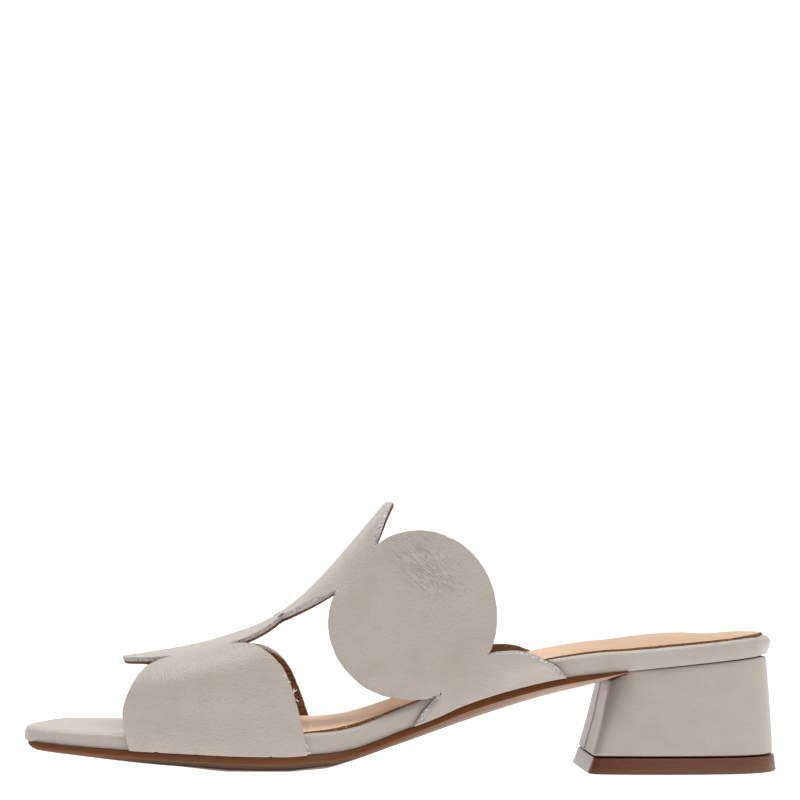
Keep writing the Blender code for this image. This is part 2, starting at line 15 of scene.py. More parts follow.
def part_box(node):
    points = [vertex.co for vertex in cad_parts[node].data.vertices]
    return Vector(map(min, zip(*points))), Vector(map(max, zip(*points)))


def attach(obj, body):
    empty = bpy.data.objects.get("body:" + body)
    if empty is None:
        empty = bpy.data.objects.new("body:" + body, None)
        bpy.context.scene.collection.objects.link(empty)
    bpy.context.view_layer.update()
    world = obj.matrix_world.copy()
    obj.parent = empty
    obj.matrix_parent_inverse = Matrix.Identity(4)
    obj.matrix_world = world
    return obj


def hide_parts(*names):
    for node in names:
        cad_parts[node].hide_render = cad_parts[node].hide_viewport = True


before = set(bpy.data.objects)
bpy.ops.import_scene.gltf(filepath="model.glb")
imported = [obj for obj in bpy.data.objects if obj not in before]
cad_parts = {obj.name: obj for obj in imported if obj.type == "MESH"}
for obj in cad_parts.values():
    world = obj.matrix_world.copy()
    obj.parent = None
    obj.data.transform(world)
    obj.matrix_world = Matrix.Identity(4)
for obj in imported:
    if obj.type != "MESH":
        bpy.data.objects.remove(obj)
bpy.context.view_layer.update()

MM = 0.001
MEDIAL = -1
LATERAL = 1

# ---------------------------------------------------------------- the last and the sole

# Ends of the board, front of the sock and end of the outsole.
TOE_X = 2.2
BACK_X = 254.8
SOCK_FRONT_X = 47.0
OUTSOLE_END_X = 200.8
# Behind SEAT_X the board falls from side to side as it does there; over SEAT_END its
# back is rounded.
SEAT_X = 238.0
SEAT_END = (245.0, 253.5)
# Clearance under the board and round it, outer leather and whole wall of the upper.
GAP = 0.3
STRAP_GAP = 0.45
LEATHER = 1.6
UPPER_WALL = 2.4
OUTSOLE_LIP = 1.2
SOCK_INSET = 1.8
# The ball and the lift stand at this height.
FLOOR_Z = -0.3

# The CAD frame has the middle of the footprint at its origin.
LAST_TO_FRAME = Vector((
    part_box("insole")[0].x - TOE_X * MM,
    (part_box("insole")[0].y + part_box("insole")[1].y) / 2.0,
    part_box("top_piece")[0].z - FLOOR_Z * MM,
))

# Plan of the leather-covered board: x, medial y, lateral y.
PLAN = [
    (TOE_X, -27.6, -20.5), (2.5, -29.1, -18.4), (3.3, -30.4, -14.0), (4.7, -31.2, -9.0),
    (7.5, -31.8, 1.5), (10.2, -32.2, 10.0), (13.0, -32.6, 17.0), (16.2, -33.0, 21.2),
    (20.2, -33.5, 24.4), (26.0, -34.4, 27.2), (40.0, -36.6, 32.0), (60.0, -39.0, 36.5),
    (85.0, -40.0, 39.6), (98.0, -39.3, 40.0), (112.0, -36.6, 39.2), (130.0, -32.3, 36.6),
    (150.0, -29.0, 33.0), (172.0, -27.3, 29.6), (200.0, -27.6, 28.0), (222.0, -28.3, 28.0),
    (236.0, -27.3, 27.0), (246.0, -22.9, 22.7), (251.0, -17.0, 17.0), (254.0, -10.0, 10.0),
    (BACK_X, -5.0, 5.0),
]

# Side profile on the medial side: x, top of the outsole, board thickness, lateral drop.
PROFILE = [
    (0.0, 13.0, 4.7, 0.0), (17.0, 10.95, 5.15, 0.0), (37.0, 9.45, 5.65, 0.0),
    (54.0, 8.6, 6.0, 0.0), (72.5, 7.7, 6.5, 0.1), (85.0, 7.5, 7.0, 0.45),
    (94.0, 8.0, 7.25, 1.0), (101.5, 8.5, 7.2, 1.7), (109.0, 9.6, 7.2, 2.45),
    (117.0, 12.1, 7.3, 3.05), (124.5, 14.8, 7.65, 3.2), (130.0, 16.7, 7.8, 3.2),
    (137.0, 19.2, 7.8, 3.0), (146.0, 23.0, 7.5, 2.7), (164.0, 28.4, 7.3, 1.6),
    (181.0, 31.95, 7.2, 0.8), (192.0, 33.2, 7.3, 0.62), (202.0, 34.15, 6.95, 0.5),
    (230.0, 36.9, 6.7, 1.7), (256.0, 39.45, 6.8, 2.4),
]

# Walking side of the outsole along its middle: x, z.
TREAD = [
    (0.0, 10.2), (12.0, 8.1), (26.0, 5.9), (42.0, 3.4), (56.0, 1.3), (63.0, 0.3),
    (70.0, FLOOR_Z), (88.0, FLOOR_Z), (94.0, 0.25), (101.0, 1.0), (108.0, 3.2),
    (118.0, 6.8), (132.0, 11.5), (146.0, 16.2), (160.0, 20.6), (174.0, 24.8),
    (186.0, 28.4), (194.0, 30.9), (OUTSOLE_END_X, 33.3),
]

# Outer face of the upper along the ridge of the foot: x, z.
RIDGE = [
    (33.3, 38.8), (46.0, 40.6), (59.5, 43.1), (73.1, 47.0), (79.9, 49.5), (86.6, 53.0),
    (93.4, 58.0), (100.2, 64.5), (107.0, 72.0), (113.9, 80.1), (120.7, 88.1),
    (124.3, 92.3),
]

# Fineness of the last: steps along the ridge, round the shoulders and down the walls,
# halvings of a search, and the span over which a slope is measured.
RIDGE_STEPS = 240
SHOULDER_STEPS = 90
WALL_STEPS = 12
HALVINGS = 40
PROBE = 0.6
# A section's longest wall, the heights over the sole where it leaves the board's plan,
# the girth over which it leaves the ridge, and the share of depth where it closes in.
LONGEST_WALL = 160.0
FOLLOW_BOARD = (10.0, 26.0)
RIDGE_RELEASE = (8.0, 30.0)
PINCH_START = 0.4

# Section planes of each strap: lean from upright in degrees, u of the middle, squareness
# and depth of the bend at the shoulders, and how far the walls close in towards them.
STRAPS = {
    "front": {
        "lean": 9.6, "middle": 28.0, "square": {MEDIAL: 4.6, LATERAL: 2.15},
        "shoulder": 28.0, "pinch": 0.0,
    },
    "rear": {
        "lean": 47.5, "middle": 81.0, "square": {MEDIAL: 5.3, LATERAL: 2.9},
        "shoulder": 45.0, "pinch": 0.045,
    },
}

# Discs of the flat pattern: u along the ridge, v round the girth, radius, and how far
# lasting pulls them out of round and along which angle from the ridge, in degrees.
CROWN_FRONT = (28.0, 0.0, 28.0, 0.0, 0.0)
CROWN_REAR = (81.2, 0.0, 28.2, 0.0, 0.0)
BALL_DISC = {
    MEDIAL: (24.4, -52.2, 28.0, 0.0, 0.0), LATERAL: (31.0, 53.2, 28.0, 0.0, 0.0),
}
INSTEP_DISC = {
    MEDIAL: (85.1, -52.1, 28.2, 1.05, 32.0), LATERAL: (87.15, 53.1, 28.2, 1.05, -32.0),
}
WAIST_DISC = {
    MEDIAL: (76.6, -100.25, 26.0, 2.3, 34.7), LATERAL: (78.2, 102.6, 27.25, 1.75, -50.0),
}
# How much the lowest front discs are trimmed at the shoulders: depth, middle |v|, reach.
SHOULDER_TRIM = {MEDIAL: (2.2, 35.0, 12.5), LATERAL: (1.1, 35.0, 12.5)}
# Where the free edges meet the sole, front x and rear x, and which u to search there.
BALL_LANDING = {MEDIAL: (35.0, 93.5), LATERAL: (40.0, 101.4)}
WAIST_LANDING = {MEDIAL: (129.5, 181.0), LATERAL: (131.0, 181.0)}
LANDING_REACH = (-30.0, 150.0)
# Runs from a disc down to the sole: distance along v, then the bow of the curve.
BALL_REAR_RUN = {MEDIAL: (11.0, 4.7, 10.3), LATERAL: (11.0, 3.6, 9.0)}
BALL_FRONT_RUN = (7.0, 0.1, 3.5)
WAIST_FRONT_BOW = 1.1
WAIST_REAR_RUN = (10.0, 0.9)
# Curl of the lowest rear discs: height, |v| from which it grows, clearance of the sole,
# furthest share of the half-width, and for each side the middle u and half-width.
CURL = 5.0
CURL_ZONE = (70.0, 86.0)
CURL_START = 9.0
CURL_REACH = 1.1
CURL_AXIS = {MEDIAL: (79.0, 26.3), LATERAL: (78.2, 27.25)}
# Just over the sole the leather is drawn in: depth at the sole, reach up the wall.
TUCK = (1.1, 8.0)

# Fineness of the leather pieces, merging distance, how far in a rim's offset reaches,
# and how the knife's line wanders and over what length, save within a margin of the sole.
STATION = 0.5
RIM_STEP = 1.1
CUT_U = 1.9
CUT_V = 1.5
WELD = 0.32
RIM_REACH = 4.5
CUT_WANDER = (0.12, 1.7)
FOOT_MARGIN = 0.1


def smooth(rows, x, column=1):
    """Monotone cubic curve through one column of a table whose first column is x."""
    xs = [row[0] for row in rows]
    values = [row[column] for row in rows]
    if x <= xs[0]:
        return values[0]
    if x >= xs[-1]:
        return values[-1]
    widths = [b - a for a, b in zip(xs, xs[1:])]
    rises = [(b - a) / w for a, b, w in zip(values, values[1:], widths)]
    slopes = [rises[0]]
    for before, after, w0, w1 in zip(rises, rises[1:], widths, widths[1:]):
        if before * after <= 0.0:
            slopes.append(0.0)
        else:
            near, far = 2.0 * w1 + w0, w1 + 2.0 * w0
            slopes.append((near + far) / (near / before + far / after))
    slopes.append(rises[-1])
    i = bisect_right(xs, x) - 1
    t = (x - xs[i]) / widths[i]
    hold = values[i] * (1 + 2 * t) * (1 - t) ** 2 + values[i + 1] * t * t * (3 - 2 * t)
    turn = slopes[i] * t * (1 - t) ** 2 - slopes[i + 1] * t * t * (1 - t)
    return hold + widths[i] * turn


def ease(value, low, high):
    """0 below low, 1 above high, and a soft step between them."""
    t = min(max((value - low) / (high - low), 0.0), 1.0)
    return t * t * (3.0 - 2.0 * t)


def board_edge(x, side):
    return side * smooth(PLAN, x, 1 if side == MEDIAL else 2)


def tread(x):
    return smooth(TREAD, x)


def feather(x):
    return smooth(PROFILE, x, 1)


def board_bottom(x):
    return feather(x) + GAP


def board_top(x):
    return board_bottom(x) + smooth(PROFILE, x, 2)


def twist(x):
    return smooth(PROFILE, x, 3)


def across(x, y):
    """Where y lies between the board's medial edge, 0, and its lateral edge, 1."""
    x = min(x, SEAT_X)
    medial, lateral = -board_edge(x, MEDIAL), board_edge(x, LATERAL)
    return min(max((y - medial) / (lateral - medial), 0.0), 1.0)


def to_frame(x, y, z):
    return Vector((x, y, z)) * MM + LAST_TO_FRAME


# ---------------------------------------------------------------- the last

def ridge_table():
    """(u, x, z) along the ridge, u being the length of leather from its front tip."""
    start, end = RIDGE[0][0], RIDGE[-1][0]
    rows = []
    u = 0.0
    for i in range(RIDGE_STEPS + 1):
        x = start + (end - start) * i / RIDGE_STEPS
        z = smooth(RIDGE, x)
        if rows:
            u += math.hypot(x - rows[-1][1], z - rows[-1][2])
        rows.append((u, x, z))
    return rows


RIDGE_BY_LENGTH = ridge_table()
RIDGE_LENGTHS = [row[0] for row in RIDGE_BY_LENGTH]


def ridge_point(u, strap):
    """Point (x, z) of the ridge; past the neck and the tips it runs on straight."""
    low, high = (0.0, NECK_U) if strap == "front" else (NECK_U, RIDGE_LENGTHS[-1])
    held = min(max(u, low), high)
    i = min(max(bisect_right(RIDGE_LENGTHS, held) - 1, 0), len(RIDGE_LENGTHS) - 2)
    u0, x0, z0 = RIDGE_BY_LENGTH[i]
    u1, x1, z1 = RIDGE_BY_LENGTH[i + 1]
    t = (u - u0) / (u1 - u0)
    return x0 + (x1 - x0) * t, z0 + (z1 - z0) * t


def plane_direction(strap):
    lean = math.radians(STRAPS[strap]["lean"])
    return math.sin(lean), -math.cos(lean)


def lift(u, strap):
    """Height of the ridge over the strap's own straight axis."""
    down_x, down_z = plane_direction(strap)
    middle_x, middle_z = ridge_point(STRAPS[strap]["middle"], strap)
    x, z = ridge_point(u, strap)
    return -(x - middle_x) * down_x - (z - middle_z) * down_z


def section(u, strap, side):
    """Half a girth at u as rows of (arc length, y, depth), from the ridge to the sole."""
    key = (round(u, 3), strap, side)
    if key in section.known:
        return section.known[key]
    shape = STRAPS[strap]
    top_x, top_z = ridge_point(u, strap)
    down_x, down_z = plane_direction(strap)
    low, high = 0.0, LONGEST_WALL
    for _ in range(HALVINGS):
        depth = (low + high) / 2.0
        x = top_x + depth * down_x
        sole_z = feather(x) + STRAP_GAP - (twist(x) if side == LATERAL else 0.0)
        if top_z + depth * down_z > sole_z:
            low = depth
        else:
            high = depth
    depth = low
    landing_edge = board_edge(top_x + depth * down_x, side)
    width = landing_edge + STRAP_GAP + UPPER_WALL
    power = 2.0 / shape["square"][side]
    shoulder = shape["shoulder"]
    bends = [0.5 * math.pi * i / SHOULDER_STEPS for i in range(1, SHOULDER_STEPS + 1)]
    half = [
        (width * math.sin(bend) ** power,
         shoulder * (1.0 - max(math.cos(bend), 0.0) ** power))
        for bend in bends
    ]
    half += [
        (width, shoulder + (depth - shoulder) * i / WALL_STEPS)
        for i in range(1, WALL_STEPS + 1)
    ]
    rows = [(0.0, 0.0, 0.0)]
    for y, d in half:
        y *= 1.0 - shape["pinch"] * (1.0 - ease(d, PINCH_START * depth, depth))
        spread = board_edge(top_x + d * down_x, side) - landing_edge
        y += spread * (1.0 - ease(depth - d, *FOLLOW_BOARD))
        length = rows[-1][0] + math.hypot(y - rows[-1][1], d - rows[-1][2])
        rows.append((length, y, d))
    section.known[key] = rows
    return rows


section.known = {}


def girth(u, strap, side):
    """Length of leather from the ridge down to the sole."""
    return section(u, strap, side)[-1][0] - lift(u, strap)


def curl(u, v, strap, side):
    """How far the free edges of the lowest rear disc stand out from the last."""
    if strap == "front":
        return 0.0
    middle, half = CURL_AXIS[side]
    off_axis = min(abs(u - middle) / half, CURL_REACH)
    above_sole = ease(girth(u, strap, side) - abs(v), 0.0, CURL_START)
    return CURL * off_axis ** 2 * ease(abs(v), *CURL_ZONE) * above_sole


def station_point(u, v, strap):
    """Outer face of the leather at one of the stations along u."""
    side = MEDIAL if v < 0.0 else LATERAL
    length = abs(v) + lift(u, strap) * ease(abs(v), *RIDGE_RELEASE)
    rows = section(u, strap, side)
    i = min(max(bisect_right(rows, (length,)) - 1, 0), len(rows) - 2)
    t = (length - rows[i][0]) / (rows[i + 1][0] - rows[i][0])
    y = rows[i][1] + (rows[i + 1][1] - rows[i][1]) * t
    depth = rows[i][2] + (rows[i + 1][2] - rows[i][2]) * t
    y += curl(u, v, strap, side)
    depth_in, reach = TUCK
    y -= depth_in * max(1.0 - max(rows[-1][0] - length, 0.0) / reach, 0.0) ** 2
    top_x, top_z = ridge_point(u, strap)
    down_x, down_z = plane_direction(strap)
    return Vector((top_x + depth * down_x, side * y, top_z + depth * down_z))


def face_point(u, v, strap):
    """Outer face of the leather where the flat pattern has (u, v)."""
    place = u / STATION
    low = math.floor(place)
    a = station_point(low * STATION, v, strap)
    b = station_point((low + 1) * STATION, v, strap)
    return a.lerp(b, place - low)


def below_face(u, v, depth, strap):
    """Point at a depth under the outer face, square to it."""
    at = face_point(u, v, strap)
    along = face_point(u + PROBE, v, strap) - face_point(u - PROBE, v, strap)
    round_girth = face_point(u, v + PROBE, strap) - face_point(u, v - PROBE, strap)
    return at - along.cross(round_girth).normalized() * depth


# ---------------------------------------------------------------- flat pattern

def rim_point(disc, angle):
    """Point of a disc's edge in a direction from its middle."""
    u, v, radius, oval, heading = disc
    reach = radius + oval * math.cos(2.0 * (angle - math.radians(heading)))
    return (u + reach * math.cos(angle), v + reach * math.sin(angle))


def beyond(disc, point):
    """How far a point lies outside a disc's edge."""
    angle = math.atan2(point[1] - disc[1], point[0] - disc[0])
    return math.dist(point, disc[:2]) - math.dist(rim_point(disc, angle), disc[:2])


def crossing(disc_a, disc_b, rear):
    """Where two discs' edges cross, on the side of larger or smaller u."""
    towards = math.atan2(disc_b[1] - disc_a[1], disc_b[0] - disc_a[0])
    turn = 1.0 if (math.sin(towards) < 0.0) == rear else -1.0
    inside, outside = towards, towards + turn * math.pi / 2.0
    for _ in range(HALVINGS):
        angle = (inside + outside) / 2.0
        if beyond(disc_b, rim_point(disc_a, angle)) < 0.0:
            inside = angle
        else:
            outside = angle
    return rim_point(disc_a, inside)


# Where the two crowns cross on the medial side. Each strap's outline starts from the
# crossing on the far side, so both keep the tip of their crown and lie over each other.
NECK_U, NECK_V = crossing(CROWN_FRONT, CROWN_REAR, rear=True)


def arc(disc, start, end):
    """Points along a disc's edge by the shorter way, from start up to but without end."""
    first = math.atan2(start[1] - disc[1], start[0] - disc[0])
    sweep = math.atan2(end[1] - disc[1], end[0] - disc[0]) - first
    sweep = (sweep + math.pi) % (2.0 * math.pi) - math.pi
    count = max(2, round(abs(sweep) * disc[2] / RIM_STEP))
    return [rim_point(disc, first + sweep * i / count) for i in range(count)]


def on_disc(disc, v, rear):
    """Point of a disc's edge at height v, on its rear or its front side."""
    reach = disc[2]
    for _ in range(HALVINGS):
        tilt = math.asin((v - disc[1]) / reach)
        point = rim_point(disc, tilt if rear else math.pi - tilt)
        reach = math.dist(point, disc[:2])
    return point


def trimmed(points, disc):
    """The points drawn in towards a disc's middle line where the shoulder is trimmed."""
    depth, middle, reach = SHOULDER_TRIM[MEDIAL if disc[1] < 0.0 else LATERAL]
    drawn = []
    for u, v in points:
        away = min(abs(abs(v) - middle) / reach, 1.0)
        drawn.append((u - math.copysign(depth, u - disc[0]) * (1.0 - away ** 2) ** 2, v))
    return drawn


def bow(start, handle, end):
    """Points along a quadratic curve, from start up to but without end."""
    count = max(2, round(math.dist(start, end) / RIM_STEP))
    points = []
    for i in range(count):
        t = i / count
        points.append(tuple(
            (1 - t) ** 2 * a + 2 * t * (1 - t) * b + t * t * c
            for a, b, c in zip(start, handle, end)
        ))
    return points


def landing(x, strap, side):
    """Pattern point whose leather meets the sole at x."""
    low, high = LANDING_REACH
    down_x, _ = plane_direction(strap)
    for _ in range(HALVINGS):
        u = (low + high) / 2.0
        if ridge_point(u, strap)[0] + section(u, strap, side)[-1][2] * down_x < x:
            low = u
        else:
            high = u
    return (low, side * girth(low, strap, side))


def sole_line(start, end, strap, side):
    """Points where the leather meets the sole, from start up to but without end."""
    count = max(2, round(abs(end[0] - start[0]) / RIM_STEP))
    us = [start[0] + (end[0] - start[0]) * i / count for i in range(count)]
    return [(u, side * girth(u, strap, side)) for u in us]


def ball_half(side):
    """Front strap on one side, from the crossing round to the front tip of the crown."""
    crown, disc = CROWN_FRONT, BALL_DISC[side]
    rear_notch = crossing(crown, disc, rear=True)
    front_notch = crossing(crown, disc, rear=False)
    front_x, rear_x = BALL_LANDING[side]
    rear_foot = landing(rear_x, "front", side)
    front_foot = landing(front_x, "front", side)
    below, bow_u, bow_v = BALL_REAR_RUN[side]
    leave = on_disc(disc, disc[1] - side * below, rear=True)
    handle = (leave[0] + bow_u, leave[1] + side * bow_v)
    above, bow_u, bow_v = BALL_FRONT_RUN
    join = on_disc(disc, side * (abs(front_foot[1]) - above), rear=False)
    front_handle = (join[0] + bow_u, join[1] + side * bow_v)
    return (
        arc(crown, (NECK_U, side * NECK_V), rear_notch)
        + trimmed(arc(disc, rear_notch, leave) + bow(leave, handle, rear_foot), disc)
        + sole_line(rear_foot, front_foot, "front", side)
        + bow(front_foot, front_handle, join)
        + trimmed(arc(disc, join, front_notch), disc)
        + arc(crown, front_notch, (crown[0] - crown[2], 0.0))
    )


def instep_half(side):
    """Rear strap on one side, from the crossing round to the rear tip of the crown."""
    crown, disc, low_disc = CROWN_REAR, INSTEP_DISC[side], WAIST_DISC[side]
    front_x, rear_x = WAIST_LANDING[side]
    front_foot = landing(front_x, "rear", side)
    rear_foot = landing(rear_x, "rear", side)
    notches = [
        crossing(a, b, rear)
        for a, b, rear in (
            (crown, disc, False), (disc, low_disc, False),
            (disc, low_disc, True), (crown, disc, True),
        )
    ]
    front_handle = (
        (notches[1][0] + front_foot[0]) / 2.0,
        (notches[1][1] + front_foot[1]) / 2.0 - side * WAIST_FRONT_BOW,
    )
    above, rear_bow = WAIST_REAR_RUN
    join = on_disc(low_disc, side * (abs(rear_foot[1]) - above), rear=True)
    rear_handle = (
        (join[0] + rear_foot[0]) / 2.0 + rear_bow,
        (join[1] + rear_foot[1]) / 2.0,
    )
    return (
        arc(crown, (NECK_U, side * NECK_V), notches[0])
        + arc(disc, notches[0], notches[1])
        + bow(notches[1], front_handle, front_foot)
        + sole_line(front_foot, rear_foot, "rear", side)
        + bow(rear_foot, rear_handle, join)
        + arc(low_disc, join, notches[2])
        + arc(disc, notches[2], notches[3])
        + arc(crown, notches[3], (crown[0] + crown[2], 0.0))
    )


def strap_outline(strap):
    """Closed outline of one strap: its medial half, its tip and its lateral half."""
    half = ball_half if strap == "front" else instep_half
    tip_u = 0.0 if strap == "front" else CROWN_REAR[0] + CROWN_REAR[2]
    return half(MEDIAL) + [(tip_u, 0.0)] + half(LATERAL)[::-1]


# ---------------------------------------------------------------- cutting and forming

def pick(*pieces):
    """Select these pieces and nothing else, with the first one active."""
    bpy.ops.object.select_all(action="DESELECT")
    for piece in pieces:
        piece.select_set(True)
    if pieces:
        bpy.context.view_layer.objects.active = pieces[0]


def lines(low, high, step):
    """Values from just past low to just short of high, at even steps."""
    count = math.ceil((high - low) / step)
    return [low + (high - low) * i / count for i in range(1, count)]


def outline_normals(loop):
    """Outward unit normals of a closed loop, whichever way it runs."""
    area = sum(a[0] * b[1] - b[0] * a[1] for a, b in zip(loop, loop[1:] + loop[:1]))
    turn = 1.0 if area > 0.0 else -1.0
    normals = []
    for before, after in zip(loop[-1:] + loop[:-1], loop[1:] + loop[:1]):
        dx, dy = after[0] - before[0], after[1] - before[1]
        length = math.hypot(dx, dy)
        normals.append((turn * dy / length, -turn * dx / length))
    return normals


def cut_sheet(name, loop, cuts_x, cuts_y, weld, reach):
    """A flat sheet cut to a closed loop and divided both ways.

    The attribute out points outwards, one long at the rim and dying away within reach.
    """
    pick()
    bpy.ops.mesh.primitive_circle_add(vertices=len(loop), fill_type="NGON")
    sheet = bpy.context.object
    sheet.name = sheet.data.name = name
    for vert, (x, y) in zip(sheet.data.vertices, loop):
        vert.co = (x, y, 0.0)
    bpy.ops.object.mode_set(mode="EDIT")
    for axis, cuts in (((1.0, 0.0, 0.0), cuts_x), ((0.0, 1.0, 0.0), cuts_y)):
        for value in cuts:
            bpy.ops.mesh.select_all(action="SELECT")
            bpy.ops.mesh.bisect(
                plane_co=(axis[0] * value, axis[1] * value, 0.0), plane_no=axis,
            )
    bpy.ops.mesh.select_all(action="SELECT")
    bpy.ops.mesh.remove_doubles(threshold=weld)
    bpy.ops.mesh.normals_make_consistent(inside=False)
    bpy.ops.object.mode_set(mode="OBJECT")
    normals = outline_normals(loop)
    tree = kdtree.KDTree(len(loop))
    for i, (x, y) in enumerate(loop):
        tree.insert((x, y, 0.0), i)
    tree.balance()
    rim = bmesh.new()
    rim.from_mesh(sheet.data)
    rim_verts = {vert.index for edge in rim.edges if edge.is_boundary for vert in edge.verts}
    up = sum(face.normal.z for face in rim.faces) > 0.0
    rim.free()
    if not up:
        sheet.data.flip_normals()
    out = sheet.data.attributes.new("out", "FLOAT_VECTOR", "POINT")
    for vert in sheet.data.vertices:
        (_, first, d0), (_, second, d1) = tree.find_n(vert.co, 2)
        share = d1 / max(d0 + d1, 1e-6)
        a, b = Vector(normals[first]), Vector(normals[second])
        normal = (a * share + b * (1.0 - share)).normalized()
        if vert.index not in rim_verts:
            normal *= max(1.0 - d0 / reach, 0.0) ** 2
        out.data[vert.index].vector = (normal.x, normal.y, 0.0)
    return sheet


def thicken(sheet, levels):
    """Extrude a sheet downwards into a slab with that many levels, one unit apart."""
    pick(sheet)
    bpy.ops.object.mode_set(mode="EDIT")
    bpy.ops.mesh.select_all(action="SELECT")
    for _ in range(levels - 1):
        bpy.ops.mesh.extrude_region_move(TRANSFORM_OT_translate={"value": (0.0, 0.0, -1.0)})
    bpy.ops.mesh.select_all(action="SELECT")
    bpy.ops.mesh.normals_make_consistent(inside=False)
    bpy.ops.object.mode_set(mode="OBJECT")


# The pattern's UV, merging distances of the flat and the formed pieces, and the angle
# between faces under which an edge is smooth.
UV_PER_MM = 0.01
SLAB_WELD = 0.12
MERGE = 0.01
SMOOTH_UNDER = 38.0


def level_of(vert):
    return round(-vert.co.z)


def paint_levels(slab, finishes, choose):
    """Give each face the finish that choose(lowest level, highest level, face) names."""
    for finish in finishes:
        slab.data.materials.append(finish)
    verts = slab.data.vertices
    for face in slab.data.polygons:
        levels = [level_of(verts[i]) for i in face.vertices]
        face.material_index = choose(min(levels), max(levels), face)


def lay_pattern_uv(slab):
    """UV map of the flat pattern, a tenth of a metre to the unit."""
    layer = slab.data.uv_layers.new(name="pattern")
    verts = slab.data.vertices
    for loop in slab.data.loops:
        layer.data[loop.index].uv = verts[loop.vertex_index].co.xy * UV_PER_MM


def layered(sheet, levels, finishes, choose):
    """Make a sheet a slab with its levels, its finishes and the pattern's UV map."""
    thicken(sheet, len(levels))
    paint_levels(sheet, finishes, choose)
    lay_pattern_uv(sheet)


def form(slab, place, sharp=SMOOTH_UNDER):
    """Move each vertex of a flat slab to its place on the shoe and smooth the faces."""
    out = slab.data.attributes["out"].data
    spots = [
        place(vert.co.x, vert.co.y, level_of(vert), out[vert.index].vector)
        for vert in slab.data.vertices
    ]
    for vert, spot in zip(slab.data.vertices, spots):
        vert.co = spot
    slab.data.attributes.remove(slab.data.attributes["out"])
    slab.data.update()
    finish_mesh(slab, sharp)
    return slab


def finish_mesh(piece, sharp):
    """Merge, turn outwards and smooth a formed piece."""
    pick(piece)
    bpy.ops.object.mode_set(mode="EDIT")
    bpy.ops.mesh.select_all(action="SELECT")
    bpy.ops.mesh.remove_doubles(threshold=MERGE * MM)
    bpy.ops.mesh.normals_make_consistent(inside=False)
    bpy.ops.object.mode_set(mode="OBJECT")
    bpy.ops.object.shade_smooth_by_angle(angle=math.radians(sharp))


def joined(pieces, name, sharp):
    """The pieces as one mesh under a name."""
    pick(*pieces)
    bpy.ops.object.join()
    whole = bpy.context.object
    whole.name = whole.data.name = name
    finish_mesh(whole, sharp)
    return whole


def wear(piece, slot, *nodes):
    """Let a finished piece ride on the shoe, in the place of CAD nodes."""
    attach(piece, "root")
    if nodes:
        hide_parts(*nodes)


# ---------------------------------------------------------------- materials

def linear(code):
    """Linear colour of an sRGB hex value."""
    channels = [int(code[i:i + 2], 16) / 255.0 for i in (1, 3, 5)]
    return tuple(
        c / 12.92 if c <= 0.04045 else ((c + 0.055) / 1.055) ** 2.4 for c in channels
    ) + (1.0,)


def add(tree, kind, settings=None, **links):
    """Add a node with its settings and its linked sockets.

    A setting is a property, an input socket by name or number, or the stops of a
    colour ramp; a link names its socket with underscores for spaces, or _0, _1 and so on.
    """
    node = tree.nodes.new(kind)
    for name, value in (settings or {}).items():
        if name == "stops":
            elements = node.color_ramp.elements
            while len(elements) < len(value):
                elements.new(1.0)
            for element, (position, code) in zip(elements, value):
                element.position = position
                element.color = linear(code)
        elif isinstance(name, int) or name in node.inputs:
            node.inputs[name].default_value = value
        else:
            setattr(node, name, value)
    for name, source in links.items():
        key = int(name[1:]) if name[0] == "_" else name.replace("_", " ")
        tree.links.new(source, node.inputs[key])
    return node


def new_material(name):
    made = bpy.data.materials.new(name)
    made.use_nodes = True
    return made, made.node_tree, made.node_tree.nodes["Principled BSDF"]


def cells(size):
    """Texture scale for cells of a size in millimetres on Object coordinates."""
    return 1.0 / (size * MM)


def dress(tree, shader, colour, roughness, specular, parts, height):
    """Finish a surface: its colour, its sheen and a relief summed from weighted parts.

    The height is in millimetres for a sum of one.
    """
    tree.links.new(colour, shader.inputs["Base Color"])
    shader.inputs["Roughness"].default_value = roughness
    shader.inputs["IOR"].default_value = 1.5
    shader.inputs["Specular IOR Level"].default_value = specular
    total = None
    for source, weight in parts:
        term = add(tree, "ShaderNodeMath",
                   {"operation": "MULTIPLY_ADD", 1: weight, 2: 0.0}, _0=source)
        if total is not None:
            tree.links.new(total, term.inputs[2])
        total = term.outputs[0]
    bump = add(tree, "ShaderNodeBump", {"Distance": height * MM}, Height=total)
    tree.links.new(bump.outputs["Normal"], shader.inputs["Normal"])


def stretched(tree, place, scale, turn=0.0, **settings):
    """Noise drawn out by a scale for each axis of the place it is laid on, then turned."""
    laid = add(tree, "ShaderNodeMapping", {"Scale": scale, "Rotation": (0.0, 0.0, turn)},
               Vector=place)
    return add(tree, "ShaderNodeTexNoise", settings, Vector=laid.outputs[0]).outputs[0]


def toned(tree, colour, value, start, end, first, last):
    """A colour scaled from first to last as a value runs from start to end."""
    share = add(tree, "ShaderNodeMapRange",
                {"From Min": start, "From Max": end, "To Min": first, "To Max": last},
                Value=value)
    return add(tree, "ShaderNodeVectorMath", {"operation": "SCALE"}, _0=colour,
               Scale=share.outputs[0]).outputs[0]


